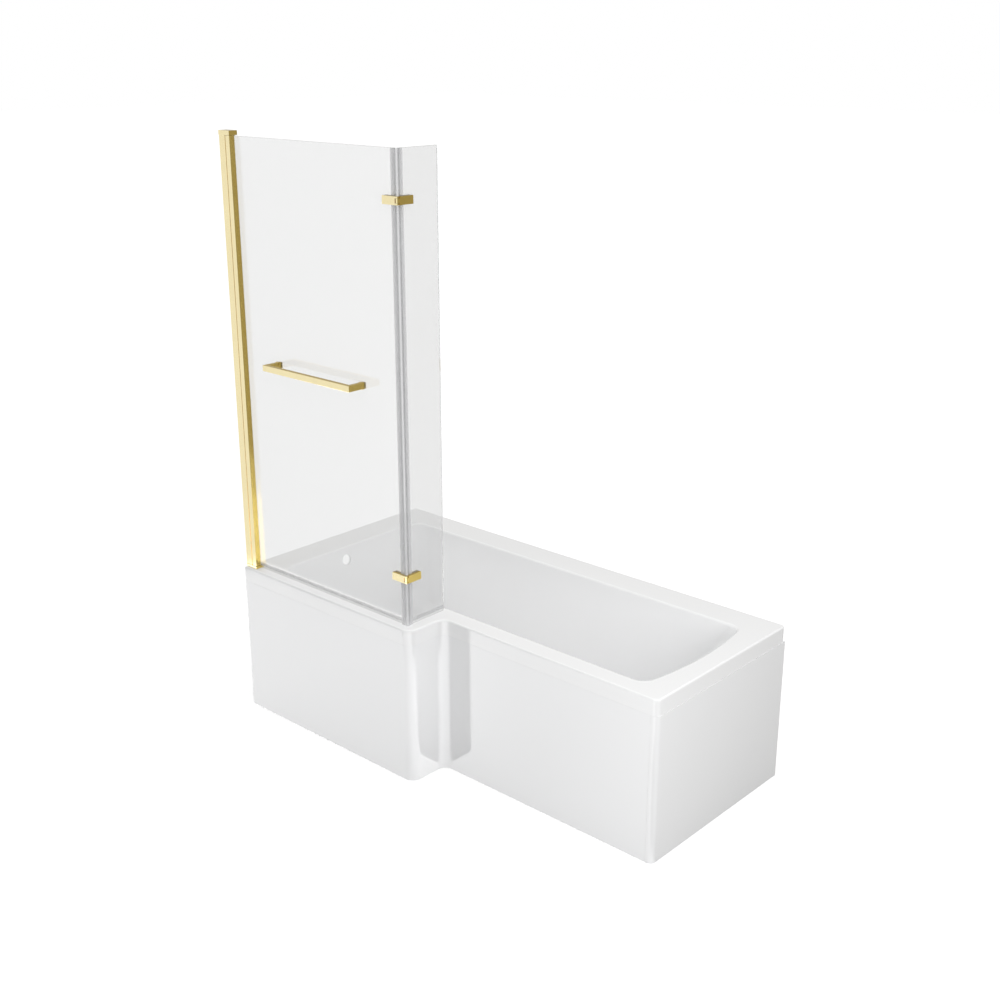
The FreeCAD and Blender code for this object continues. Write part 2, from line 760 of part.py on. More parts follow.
cap("top_cap", profile_top, s.cap_height, profile_top - s.cap_spigot, profile_top)
cap("bottom_cap", s.rim_height, s.foot_cap_height, profile_bottom, profile_bottom - s.pivot_bite)
keep(cylinder("top_pivot_pin", pivot_x, pivot_y, profile_top + s.pivot_bite - s.pivot_length,
              s.pivot_radius, s.pivot_length))
keep(cylinder("bottom_pivot_pin", pivot_x, pivot_y, profile_bottom - s.pivot_bite,
              s.pivot_radius, s.pivot_length))
washers = []
for name, z in (("top_washer", profile_top - s.washer_height), ("bottom_washer", profile_bottom)):
    disc = cylinder(name + "_disc", pivot_x, pivot_y, z, s.washer_radius, s.washer_height)
    hole = cylinder(name + "_hole", pivot_x, pivot_y, z - s.washer_height,
                    s.pivot_radius + s.running_slack, 3 * s.washer_height)
    washers.append(cut(name, disc, [hole]))
keep(group("pivot_washers", washers))

# Glass planes and levels of the screen
glass_out = -s.wide_width + s.glass_setback
glass_in = glass_out + s.glass_sheet
glass_mid = glass_out + s.glass_sheet / 2
glass_bottom = s.rim_height + s.glass_lift
glass_height = s.glass_top - glass_bottom
seal_half = s.glass_sheet / 2 + s.seal_sheet
return_out = s.step_from_wall - s.return_setback
return_in = return_out - s.glass_sheet
return_mid = return_out - s.glass_sheet / 2
main_edge = return_out - s.edge_gap
return_edge = glass_out + s.edge_gap
return_free = glass_out + s.return_reach
grip_x = s.profile_width - s.glass_grip

post_bottom = profile_bottom + s.washer_height + s.running_slack
post_top = profile_top - s.washer_height - s.running_slack
post = body_at("post_form")
slot_x = grip_x - s.seal_sheet
slot_front = glass_out - s.glazing_skin
slot_back = glass_in + s.seal_sheet
back_leg_x = s.profile_width - s.back_leg_cut
post_section = outline(post, "section", [
    (post_x, profile_front, s.pivot_inset), (s.profile_width, profile_front),
    (s.profile_width, slot_front), (slot_x, slot_front),
    (slot_x, slot_back), (back_leg_x, slot_back),
    (back_leg_x, profile_back), (post_x, profile_back)], lift=post_bottom)
pad(post, post_section, post_top - post_bottom)
bearing = s.pivot_radius + s.running_slack
bearing_depth = s.pivot_length - s.pivot_bite
keep(cut("pivot_post", post, [
    cylinder("post_bottom_bore", pivot_x, pivot_y, profile_bottom, bearing, bearing_depth),
    cylinder("post_top_bore", pivot_x, pivot_y, profile_top - bearing_depth, bearing, bearing_depth)]))

gasket = keep(body_at("glazing_gasket"))
gasket_section = outline(gasket, "section", [
    (slot_x, slot_front), (s.profile_width, slot_front), (s.profile_width, glass_out),
    (grip_x, glass_out), (grip_x, glass_in), (back_leg_x, glass_in),
    (back_leg_x, slot_back), (slot_x, slot_back)], lift=glass_bottom)
pad(gasket, gasket_section, glass_height)


# Seals along the bottom edges wipe just above the rim
def wiper(label, plane, middle, start, length):
    """A seal that grips a bottom edge of glass, with a thin blade down to the rim."""
    low = s.rim_height + s.rim_clearance
    web = glass_bottom - s.seal_sheet
    high = glass_bottom + s.seal_grip
    blade = s.blade_sheet / 2
    half = s.glass_sheet / 2
    body = keep(body_at(label))
    section = outline(body, "section", [
        (middle - seal_half, high), (middle - seal_half, web), (middle - blade, web), (middle - blade, low),
        (middle + blade, low), (middle + blade, web), (middle + seal_half, web), (middle + seal_half, high),
        (middle + half, high), (middle + half, glass_bottom), (middle - half, glass_bottom),
        (middle - half, high)], plane=plane, lift=start)
    pad(body, section, length)


main_seal_start = s.profile_width + s.cap_overhang + s.seal_start_gap
wiper("main_bottom_seal", "YZ_Plane", glass_mid, main_seal_start,
      main_edge - s.edge_grip - s.seal_gap - main_seal_start)
wiper("return_bottom_seal", "XZ_Plane", return_mid, -return_free,
      return_free - return_edge - s.edge_grip - s.seal_gap)

# Corner seals stop at the hinges, so each comes in three lengths
upper_hinge = s.glass_top - s.hinge_from_top
lower_hinge = s.rim_height + s.hinge_from_rim
hinge_half = s.leaf_height / 2 + s.seal_gap
seal_lengths = [(s.rim_height + s.rim_clearance, lower_hinge - hinge_half),
                (lower_hinge + hinge_half, upper_hinge - hinge_half),
                (upper_hinge + hinge_half, s.glass_top)]
main_web = main_edge + s.seal_sheet
return_web = return_edge - s.seal_sheet
bulb_x = main_web + s.seal_gap + s.bulb_radius
bulb_y = return_web - s.seal_gap - s.bulb_radius
corner_pieces, return_pieces = [], []
for number, (low, high) in enumerate(seal_lengths):
    grip = body_at(f"corner_grip_{number}")
    section = outline(grip, "section", [
        (main_edge - s.edge_grip, glass_mid - seal_half), (main_web, glass_mid - seal_half),
        (main_web, glass_mid + seal_half), (main_edge - s.edge_grip, glass_mid + seal_half),
        (main_edge - s.edge_grip, glass_in), (main_edge, glass_in), (main_edge, glass_out),
        (main_edge - s.edge_grip, glass_out)], lift=low)
    pad(grip, section, high - low)
    bulb = cylinder(f"corner_bulb_{number}", bulb_x, bulb_y, low, s.bulb_radius, high - low)
    neck = box(f"corner_neck_{number}", main_web - s.seal_sheet / 2, bulb_y - s.seal_sheet, low,
               s.bulb_radius, 2 * s.seal_sheet, high - low)
    corner_pieces.append(fuse(f"corner_seal_{number}", [grip, bulb, neck]))
    edge = body_at(f"return_grip_{number}")
    section = outline(edge, "section", [
        (return_mid - seal_half, return_edge + s.edge_grip), (return_mid - seal_half, return_web),
        (return_mid + seal_half, return_web), (return_mid + seal_half, return_edge + s.edge_grip),
        (return_out, return_edge + s.edge_grip), (return_out, return_edge), (return_in, return_edge),
        (return_in, return_edge + s.edge_grip)], lift=low)
    pad(edge, section, high - low)
    return_pieces.append(edge)
keep(group("corner_seal", corner_pieces))
keep(group("return_edge_seal", return_pieces))

# Corner hinges turn on pins outside the corner
leaf_half = s.leaf_sheet / 2
pin_x = return_out + s.pad_sheet + leaf_half
pin_y = glass_out - s.pad_sheet - leaf_half
pad_v = leaf_half
glass_v = pad_v + s.pad_sheet
inner_v = glass_v + s.glass_sheet
clamp_v = inner_v + s.pad_sheet
head_v = clamp_v + s.clamp_sheet
glass_start = s.edge_gap + s.pad_sheet + leaf_half + s.seal_gap
half_tongue = s.tongue_share / 2
slot_half = half_tongue + s.hinge_gap
leaf_start = leaf_half + s.hinge_gap
main_pads, return_pads, main_screws, return_screws = [], [], [], []
main_drills, return_drills = [], []


def leaf_box(label, on_return, u0, u1, v0, v1, z0, z1):
    """A box from u0 to u1 along the glass and v0 to v1 toward its inner face, seen from the pin."""
    if on_return:
        return box(label, pin_x - v1, pin_y + u0, z0, v1 - v0, u1 - u0, z1 - z0)
    return box(label, pin_x - u1, pin_y + v0, z0, u1 - u0, v1 - v0, z1 - z0)


def leaf_drill(label, on_return, u, v0, v1, z, radius):
    """A cylinder square to the glass from v0 to v1."""
    if on_return:
        return cylinder(label, pin_x - v1, pin_y + u, z, radius, v1 - v0, ALONG_X)
    return cylinder(label, pin_x - u, pin_y + v0, z, radius, v1 - v0, ALONG_Y)


def hinge_side(name, on_return, z):
    """Clamp plate, pads, screws and glass holes of one leaf. Gives the holes of the leaf."""
    low, high = z - s.leaf_height / 2, z + s.leaf_height / 2
    pads = return_pads if on_return else main_pads
    fixings = return_screws if on_return else main_screws
    drills = return_drills if on_return else main_drills
    plate = leaf_box(name + "_plate", on_return, s.clamp_start, s.leaf_length, clamp_v, head_v, low, high)
    outer = leaf_box(name + "_outer_pad", on_return, glass_start, s.leaf_length, pad_v, glass_v, low, high)
    inner = leaf_box(name + "_inner_pad", on_return, s.clamp_start, s.leaf_length,
                     inner_v, clamp_v, low, high)
    loose = s.hinge_screw_radius + s.drill_slack
    tight = s.hinge_screw_radius + s.running_slack
    tip = pad_v - s.hinge_screw_bite
    leaf_holes, plate_holes, outer_holes, inner_holes = [], [], [], []
    for number, u in enumerate((s.hinge_screw_first, s.hinge_screw_second)):
        screw = f"{name}_screw_{number}"
        shank = leaf_drill(screw + "_shank", on_return, u, tip, head_v, z, s.hinge_screw_radius)
        head = leaf_drill(screw + "_head", on_return, u, head_v, head_v + s.hinge_screw_head_height, z,
                          s.hinge_screw_head)
        fixings.append(fuse(screw, [shank, head]))
        leaf_holes.append(leaf_drill(screw + "_thread", on_return, u, tip - s.running_slack, glass_v,
                                     z, tight))
        plate_holes.append(leaf_drill(screw + "_plate_drill", on_return, u, inner_v, head_v + skin, z, loose))
        outer_holes.append(leaf_drill(screw + "_outer_drill", on_return, u, ZERO, inner_v, z, loose))
        inner_holes.append(leaf_drill(screw + "_inner_drill", on_return, u, glass_v, head_v, z, loose))
        drills.append(leaf_drill(screw + "_glass_drill", on_return, u, pad_v, clamp_v,
                                 z, s.glass_hole_radius))
    keep(cut(name + "_clamp", plate, plate_holes))
    pads.append(cut(name + "_outer_gasket", outer, outer_holes))
    pads.append(cut(name + "_inner_gasket", inner, inner_holes))
    return leaf_holes


def hinge(name, z):
    """A fork on the main panel, a tongue on the return panel and the pin through both."""
    low, high = z - s.leaf_height / 2, z + s.leaf_height / 2
    plate = leaf_box(name + "_fork_plate", False, ZERO, s.leaf_length, -leaf_half, leaf_half, low, high)
    knuckle = cylinder(name + "_fork_knuckle", pin_x, pin_y, low, leaf_half, s.leaf_height)
    slot = leaf_box(name + "_fork_slot", False, -s.leaf_sheet, leaf_start, -s.leaf_sheet, s.leaf_sheet,
                    z - slot_half, z + slot_half)
    bore = cylinder(name + "_fork_bore", pin_x, pin_y, low - skin, s.hinge_pin_radius + s.running_slack / 2,
                    s.leaf_height + 2 * skin)
    keep(cut(name + "_fork", fuse(name + "_fork_blank", [plate, knuckle]),
             [slot, bore] + hinge_side(name + "_main", False, z)))
    plate = leaf_box(name + "_tongue_plate", True, leaf_start, s.leaf_length,
                     -leaf_half, leaf_half, low, high)
    link = leaf_box(name + "_tongue_link", True, ZERO, leaf_start, -leaf_half, leaf_half,
                    z - half_tongue, z + half_tongue)
    knuckle = cylinder(name + "_tongue_knuckle", pin_x, pin_y, z - half_tongue, leaf_half, s.tongue_share)
    bore = cylinder(name + "_tongue_bore", pin_x, pin_y, low - skin, s.hinge_pin_radius + s.running_slack,
                    s.leaf_height + 2 * skin)
    keep(cut(name + "_tongue", fuse(name + "_tongue_blank", [plate, link, knuckle]),
             [bore] + hinge_side(name + "_return", True, z)))
    keep(cylinder(name + "_pin", pin_x, pin_y, low, s.hinge_pin_radius, s.leaf_height))


hinge("upper_hinge", upper_hinge)
hinge("lower_hinge", lower_hinge)
keep(group("main_hinge_pads", main_pads))
keep(group("main_hinge_screws", main_screws))
keep(group("return_hinge_pads", return_pads))
keep(group("return_hinge_screws", return_screws))

# Towel rail on the outside of the main panel, screwed through the glass
rail_front = glass_out - s.rail_reach
rail_back = rail_front + s.rail_bar
rail_end = s.rail_start + s.rail_length
post_end = glass_out - s.collar_length
rail = body_at("rail_form")
rail_plan = outline(rail, "plan", [
    (s.rail_start, post_end), (s.rail_start, rail_front), (rail_end, rail_front), (rail_end, post_end),
    (rail_end - s.rail_bar, post_end), (rail_end - s.rail_bar, rail_back),
    (s.rail_start + s.rail_bar, rail_back), (s.rail_start + s.rail_bar, post_end)],
    lift=s.rail_height - s.rail_face / 2)
pad(rail, rail_plan, s.rail_face)
round_edges(rail, s.rail_edge_radius, lambda x, y, z: True)
rail_drills, collars, inner_caps, rail_screws = [], [], [], []
cap_out = glass_in + s.inner_cap_height
for side, x in (("left", s.rail_start + s.rail_bar / 2), ("right", rail_end - s.rail_bar / 2)):
    name = f"rail_{side}"
    tip = post_end - s.rail_screw_bite
    loose = s.hinge_screw_radius + s.drill_slack
    shank = cylinder(name + "_shank", x, tip, s.rail_height, s.hinge_screw_radius, cap_out - tip, ALONG_Y)
    head = cylinder(name + "_head", x, cap_out, s.rail_height, s.hinge_screw_head,
                    s.hinge_screw_head_height, ALONG_Y)
    rail_screws.append(fuse(name + "_screw", [shank, head]))
    rail_drills.append(cylinder(name + "_thread", x, tip - s.running_slack, s.rail_height,
                                s.hinge_screw_radius + s.running_slack, 2 * s.rail_screw_bite, ALONG_Y))
    main_drills.append(cylinder(name + "_glass_drill", x, glass_out - skin, s.rail_height,
                                s.glass_hole_radius, s.glass_sheet + 2 * skin, ALONG_Y))
    block = box(name + "_collar_block", x - s.collar_side / 2, post_end, s.rail_height - s.collar_face / 2,
                s.collar_side, s.collar_length, s.collar_face)
    collar_hole = cylinder(name + "_collar_drill", x, post_end - skin, s.rail_height, loose,
                           s.collar_length + 2 * skin, ALONG_Y)
    collars.append(cut(name + "_collar", block, [collar_hole]))
    plate = box(name + "_cap_plate", x - s.inner_cap_side / 2, glass_in, s.rail_height - s.inner_cap_face / 2,
                s.inner_cap_side, s.inner_cap_height, s.inner_cap_face)
    plate_hole = cylinder(name + "_cap_drill", x, glass_in - skin, s.rail_height, loose,
                          s.inner_cap_height + 2 * skin, ALONG_Y)
    inner_caps.append(cut(name + "_cap", plate, [plate_hole]))
keep(cut("towel_rail", rail, rail_drills))
keep(group("rail_collars", collars))
keep(group("rail_inner_caps", inner_caps))
keep(group("rail_screws", rail_screws))

# Glass panels with holes for the hinges and the rail
main_blank = box("main_glass_blank", grip_x, glass_out, glass_bottom,
                 main_edge - grip_x, s.glass_sheet, glass_height)
keep(cut("main_glass", main_blank, main_drills))
return_blank = box("return_glass_blank", return_in, return_edge, glass_bottom, s.glass_sheet,
                   return_free - return_edge, glass_height)
keep(cut("return_glass", return_blank, return_drills))

doc.recompute()
for obj in doc.Objects:
    if "Invalid" in obj.State or "Error" in obj.State:
        raise RuntimeError(f"{obj.Label} did not build: {obj.State}")
os.makedirs("parts", exist_ok=True)
for node in nodes:
    shape = node.Shape
    if shape.isNull() or not shape.isValid() or not shape.Solids:
        raise RuntimeError(f"{node.Label} is not a valid solid")
    shape.exportStep(f"parts/{node.Label}.step")
print(len(nodes), "pieces written")
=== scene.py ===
# %% [markdown]
# # L-shaped shower bath with a folding glass screen
# The bath is a white acrylic shell on a leg frame, closed by two acrylic panels. A glass screen
# with brass fittings stands on its rim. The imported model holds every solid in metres, in one
# frame, so this lesson only adds finishes, finer surfaces, light and a camera around it.

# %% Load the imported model
import math

import bmesh
import bpy
import numpy as np
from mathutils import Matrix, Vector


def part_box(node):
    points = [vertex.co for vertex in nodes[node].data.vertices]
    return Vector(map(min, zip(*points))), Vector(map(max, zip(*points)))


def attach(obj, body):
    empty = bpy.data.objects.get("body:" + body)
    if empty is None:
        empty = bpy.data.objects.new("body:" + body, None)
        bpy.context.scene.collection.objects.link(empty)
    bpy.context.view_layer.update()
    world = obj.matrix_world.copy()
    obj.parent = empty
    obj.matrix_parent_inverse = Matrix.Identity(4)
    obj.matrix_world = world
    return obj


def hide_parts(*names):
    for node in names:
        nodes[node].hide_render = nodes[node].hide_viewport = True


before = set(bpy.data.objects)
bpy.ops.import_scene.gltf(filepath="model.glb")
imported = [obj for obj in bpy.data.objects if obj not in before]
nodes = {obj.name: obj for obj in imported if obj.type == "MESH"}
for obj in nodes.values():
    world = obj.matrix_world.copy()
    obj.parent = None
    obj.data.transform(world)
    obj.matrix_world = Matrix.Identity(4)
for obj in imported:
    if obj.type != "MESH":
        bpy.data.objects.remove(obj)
scene = bpy.context.scene
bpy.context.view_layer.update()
print("pieces in the frame:", len(nodes))

# %% [markdown]
# ## Camera
# The picture is square and taken from the front right, a little above the top of the screen.
# The place, turn and focal length come from fitting a pinhole camera to the corners of the
# bath, whose lengths are known, so the camera needs no shift.

# %% Camera at the picture's angle
lens_mm = 48.307
camera_place = (2.81658, -3.09733, 2.33386)
camera_tilt = 70.948
camera_turn = 42.192
camera_data = bpy.data.cameras.new("picture_camera")
camera_data.sensor_width = 36.0
camera_data.lens = lens_mm
camera = bpy.data.objects.new("picture_camera", camera_data)
camera.location = camera_place
camera.rotation_euler = (math.radians(camera_tilt), 0.0, math.radians(camera_turn))
scene.collection.objects.link(camera)
scene.camera = camera
print("camera stands at", camera_place)

# %% [markdown]
# ## Node helpers
# A material is a small graph. One helper adds a node with its settings and wires or fills its
# inputs, which keeps every finish below short enough to read in one look.


# %% Helpers for node graphs
def add(tree, kind, inputs=None, **settings):
    """Add a node: settings are its properties, inputs are plain values or sockets to wire in."""
    node = tree.nodes.new(kind)
    for key, value in settings.items():
        setattr(node, key, value)
    for key, value in (inputs or {}).items():
        if isinstance(value, bpy.types.NodeSocket):
            tree.links.new(value, node.inputs[key])
        else:
            node.inputs[key].default_value = value
    return node


def blend_colour(tree, mask, first, second):
    """Colour from the first to the second, each a colour or a socket, as the mask goes from 0 to 1."""
    ends = [end if isinstance(end, bpy.types.NodeSocket) else (*end, 1.0) for end in (first, second)]
    return add(tree, "ShaderNodeMix", {0: mask, 6: ends[0], 7: ends[1]}, data_type="RGBA").outputs[2]


def ramp(tree, value, start, stop, low=0.0, high=1.0, kind="LINEAR"):
    """Number that goes from low to high as a value goes from start to stop."""
    limits = {"Value": value, "From Min": start, "From Max": stop, "To Min": low, "To Max": high}
    return add(tree, "ShaderNodeMapRange", limits, interpolation_type=kind).outputs["Result"]


def between(tree, mask, low, high):
    """Number that goes from low to high as the mask goes from 0 to 1."""
    return ramp(tree, mask, 0.0, 1.0, low, high)


def arith(tree, operation, first, second=0.0, clamp=False):
    """One step of arithmetic on two numbers or sockets."""
    return add(tree, "ShaderNodeMath", {0: first, 1: second}, operation=operation,
               use_clamp=clamp).outputs[0]


def dot(tree, first, second):
    """Dot product of two vectors or sockets."""
    node = add(tree, "ShaderNodeVectorMath", {0: first, 1: second}, operation="DOT_PRODUCT")
    return node.outputs["Value"]


print("node helpers ready")

# %% [markdown]
# ## Studio room
# A product picture is taken in a white room: the backdrop burns out to white, and light comes
# from all round with hardly a shadow. One world shader can play three rooms at once, because the
# Light Path node tells how a ray got here. Straight views and views through glass see plain
# white. Soft light on matt surfaces comes from a ceiling brighter than the walls, with weak lights
# from the right and the left. Polished metal would look flat in all that white, so mirror rays see
# a room that is bright at the front and dim behind, as it is when the lamps stand around the
# camera. The weights were fitted to the tones of the acrylic in the picture.

# %% Soft light of the room
ceiling_light = 1.27
side_lights = {(0.96, 0.29, 0.0): 0.25, (-0.98, 0.0, 0.20): 0.12}
world = bpy.data.worlds.new("studio_room")
world.use_nodes = True
world.cycles.sampling_method = "NONE"
scene.world = world
room = world.node_tree
room.nodes.clear()
direction = add(room, "ShaderNodeTexCoord").outputs["Generated"]
upward = add(room, "ShaderNodeSeparateXYZ", {0: direction}).outputs["Z"]
soft_light = arith(room, "MULTIPLY", arith(room, "MAXIMUM", upward, 0.0), ceiling_light)
for side_from, side_light in side_lights.items():
    facing = arith(room, "MAXIMUM", dot(room, direction, side_from), 0.0)
    soft_light = arith(room, "ADD", soft_light, arith(room, "MULTIPLY", facing, side_light))
print("light from above", ceiling_light, "and from the sides", list(side_lights.values()))

# %% What mirrors and the camera see of the room
white = (1.0, 1.0, 1.0)
room_bright = (1.10, 1.10, 1.10)
room_dim = (0.39, 0.37, 0.33)
bright_side = (-0.50, -0.60, -0.60)
dim_until = -0.30
bright_from = 0.60
glass_layers = 24
share = ramp(room, dot(room, direction, bright_side), dim_until, bright_from, kind="SMOOTHSTEP")
mirror_view = blend_colour(room, share, room_dim, room_bright)
ray = add(room, "ShaderNodeLightPath")
mirrored = arith(room, "MINIMUM", ray.outputs["Glossy Depth"], 1.0)
scattered = arith(room, "MINIMUM", ray.outputs["Diffuse Depth"], 1.0)
sharp_view = blend_colour(room, mirrored, white, mirror_view)
any_view = blend_colour(room, scattered, sharp_view, soft_light)
background = add(room, "ShaderNodeBackground", {"Color": any_view})
add(room, "ShaderNodeOutputWorld", {"Surface": background.outputs[0]})
scene.view_settings.view_transform = "Standard"
scene.cycles.transparent_max_bounces = glass_layers
print("mirrors see a room from", room_dim, "to", room_bright)

# %% [markdown]
# ## Soft lights
# Three rectangular lights fill sides that the room leaves in shade: the end panel, the face of the
# step and the backrest inside the basin. They only light matt surfaces. The camera, mirrors and
# glass do not see them, so no white rectangle hangs in the picture.


# %% Lights that fill shaded sides
def softbox(name, place, aim, size, power, spread):
    """A rectangular soft light at a place, turned to face the aim point; spread is its cone in degrees."""
    data = bpy.data.lights.new(name, "AREA")
    data.shape = "RECTANGLE"
    data.size, data.size_y = size
    data.energy = power
    data.spread = math.radians(spread)
    light = bpy.data.objects.new(name, data)
    step = np.array(aim) - np.array(place)
    flat = math.hypot(step[0], step[1])
    light.location = place
    light.rotation_euler = (math.atan2(flat, -step[2]), 0.0, math.atan2(-step[0], step[1]))
    light.visible_camera = False
    light.visible_glossy = False
    light.visible_transmission = False
    scene.collection.objects.link(light)
    print(name, "at", place, "power", power)


softbox("right_softbox", (2.6, -1.5, 1.3), (0.5, 0.0, 0.3), size=(1.2, 1.2), power=28.0, spread=180.0)
softbox("step_softbox", (0.75, -0.52, 0.26), (0.0, -0.34, 0.26), size=(0.10, 0.45), power=0.035,
        spread=40.0)
softbox("backrest_softbox", (-0.90, 0.05, 0.85), (0.72, 0.05, 0.42), size=(0.50, 0.15), power=0.10,
        spread=24.0)

# %% [markdown]
# ## Floor
# The object stands on a plain pale floor, one large grid sheet with a soft unevenness in its
# tone. A bright pool of light is painted on the floor in front of the bath, as a glow far brighter
# than white can show that only mirror rays see. The camera sees the plain floor, and the gloss panels
# show a painted reflection of the pool. Further off, mirror rays see the same bright and dim sides as the
# room has.

# %% Pale floor
floor_half = 40.0
floor_steps = 33
line = np.linspace(-floor_half, floor_half, floor_steps)
across, along = np.meshgrid(line, line, indexing="ij")
floor_points = np.stack([across, along, np.zeros_like(across)], axis=-1).reshape(-1, 3)
cell = np.arange(floor_steps * floor_steps).reshape(floor_steps, floor_steps)
corners = [cell[:-1, :-1], cell[1:, :-1], cell[1:, 1:], cell[:-1, 1:]]
floor_faces = np.stack(corners, axis=-1).reshape(-1, 4)
floor_mesh = bpy.data.meshes.new("pale_floor")
floor_mesh.from_pydata(floor_points.tolist(), [], floor_faces.tolist())
floor = bpy.data.objects.new("pale_floor", floor_mesh)
scene.collection.objects.link(floor)
print("floor of", len(floor_faces), "cells")


# %% Finish of the floor
def new_finish(name):
    """An empty material; gives the material, its graph and its main shader."""
    finish = bpy.data.materials.new(name)
    finish.use_nodes = True
    tree = finish.node_tree
    tree.nodes.clear()
    shader = add(tree, "ShaderNodeBsdfPrincipled")
    add(tree, "ShaderNodeOutputMaterial", {"Surface": shader.outputs["BSDF"]})
    return finish, tree, shader


floor_glow = 0.75
floor_tones = ((0.345, 0.345, 0.345), (0.355, 0.355, 0.355))
floor_finish, tree, shader = new_finish("pale_floor")
spot = add(tree, "ShaderNodeTexCoord").outputs["Object"]
tone = add(tree, "ShaderNodeTexNoise", {"Vector": spot, "Scale": 0.7, "Detail": 3.0}).outputs["Fac"]
tree.links.new(blend_colour(tree, tone, *floor_tones), shader.inputs["Base Color"])
shader.inputs["Roughness"].default_value = 0.9
shader.inputs["Specular IOR Level"].default_value = 0.0
ray = add(tree, "ShaderNodeLightPath")
scattered = arith(tree, "MINIMUM", ray.outputs["Diffuse Depth"], 1.0)
unscattered = arith(tree, "SUBTRACT", 1.0, scattered)
shader.inputs["Emission Color"].default_value = (1.0, 1.0, 1.0, 1.0)
tree.links.new(arith(tree, "MULTIPLY", unscattered, floor_glow), shader.inputs["Emission Strength"])
floor_mesh.materials.append(floor_finish)
print("floor glows by", floor_glow)

# %% Pool of light in front of the bath
# The pool is painted light: a mask on the floor where a glow shows to mirror rays only.
pool_near = (-0.26, -0.23)
pool_far = (-1.272, -1.232)
pool_left = (-1.97, -1.90)
pool_right = (0.84, 0.94)
deep_from = (-0.7, -0.5)
deep_reach = 0.75
wide_until = (-1.0, -0.85)
wide_reach = 0.3
axes = add(tree, "ShaderNodeSeparateXYZ", {0: spot}).outputs
deeper = ramp(tree, axes["X"], *deep_from, 0.0, deep_reach)
wider = ramp(tree, axes["Y"], *wide_until, wide_reach, 0.0)
before_bath = ramp(tree, axes["Y"], *pool_near, 1.0, 0.0)
this_side = ramp(tree, arith(tree, "ADD", axes["Y"], deeper), *pool_far)
left_of_end = ramp(tree, arith(tree, "SUBTRACT", axes["X"], wider), *pool_right, 1.0, 0.0)
right_of_wall = ramp(tree, axes["X"], *pool_left)
pool = arith(tree, "MULTIPLY", arith(tree, "MULTIPLY", before_bath, this_side),
             arith(tree, "MULTIPLY", left_of_end, right_of_wall))
print("pool reaches from", pool_far[1], "to", pool_near[0], "in front of the wall side")

# %% Floor as the mirrors see it
pool_light = 4.2
left_gain = 1.16
gain_until = (-0.9, 0.1)
bright_way = (-0.64, -0.77, 0.0)
dim_to_bright = (-0.5, 1.5)
strength = ramp(tree, axes["X"], *gain_until, left_gain * pool_light, pool_light)
share = ramp(tree, dot(tree, spot, bright_way), *dim_to_bright, kind="SMOOTHSTEP")
# Painted glow that only mirror rays see: the pool, and beyond it the room's bright and dim sides.
painted_pool_glow = blend_colour(tree, pool, blend_colour(tree, share, room_dim, room_bright), strength)
shine = add(tree, "ShaderNodeEmission", {"Color": painted_pool_glow})
mirrored = arith(tree, "MULTIPLY", arith(tree, "MINIMUM", ray.outputs["Glossy Depth"], 1.0), unscattered)
seen = add(tree, "ShaderNodeMixShader", {0: mirrored, 1: shader.outputs["BSDF"], 2: shine.outputs[0]})
tree.links.new(seen.outputs[0], tree.nodes["Material Output"].inputs["Surface"])
print("mirrors see a pool of", pool_light, "in front of the bath")

# %% [markdown]
# ## Shared surface effects
# Several finishes share the same small effects: cloudy unevenness, rubbed edges, brushed lines,
# moulded grain, painted shade by facing. Each is built once as a node group with named inputs. The
# rubbed edge compares the true normal with a normal that is softened over a small radius: they
# differ only near an edge. The painted shade is a mask that grows as a face's normal turns to the right and
# up.


# %% Group helper and cloudy unevenness
def effect(name, inputs, outputs):
    """An empty node group with number inputs and outputs; gives it with its two ends."""
    group = bpy.data.node_groups.new(name, "ShaderNodeTree")
    for label, value in inputs.items():
        socket = group.interface.new_socket(name=label, in_out="INPUT", socket_type="NodeSocketFloat")
        socket.default_value = value
    for label in outputs:
        group.interface.new_socket(name=label, in_out="OUTPUT", socket_type="NodeSocketFloat")
    return group, group.nodes.new("NodeGroupInput"), group.nodes.new("NodeGroupOutput")


def use(tree, group, **values):
    """Place a group in a graph with its own values; gives its outputs."""
    node = add(tree, "ShaderNodeGroup", node_tree=group)
    for label, value in values.items():
        node.inputs[label].default_value = value
    return node.outputs


cloud, inside, outside = effect("cloudy_tone", {"Scale": 3.0, "Contrast": 2.0}, ["Cloud"])
spot = add(cloud, "ShaderNodeTexCoord").outputs["Object"]
noise = add(cloud, "ShaderNodeTexNoise", {"Vector": spot, "Scale": inside.outputs["Scale"], "Detail": 4.0})
centred = arith(cloud, "SUBTRACT", noise.outputs["Fac"], 0.5)
spread = arith(cloud, "MULTIPLY", centred, inside.outputs["Contrast"])
cloud.links.new(arith(cloud, "ADD", spread, 0.5, clamp=True), outside.inputs["Cloud"])
print("group", cloud.name)

# %% Rubbed edges
rub, inside, outside = effect("rubbed_edges", {"Radius": 0.002, "Strength": 4.0, "Breakup": 60.0}, ["Rub"])
soft = add(rub, "ShaderNodeBevel", {"Radius": inside.outputs["Radius"]}, samples=4)
true = add(rub, "ShaderNodeNewGeometry")
apart = arith(rub, "SUBTRACT", 1.0, dot(rub, soft.outputs["Normal"], true.outputs["Normal"]))
edge = arith(rub, "MULTIPLY", apart, inside.outputs["Strength"], clamp=True)
spot = add(rub, "ShaderNodeTexCoord").outputs["Object"]
patch = add(rub, "ShaderNodeTexNoise", {"Vector": spot, "Scale": inside.outputs["Breakup"], "Detail": 3.0})
worn = ramp(rub, patch.outputs["Fac"], 0.35, 0.65)
rub.links.new(arith(rub, "MULTIPLY", edge, worn), outside.inputs["Rub"])
print("group", rub.name)

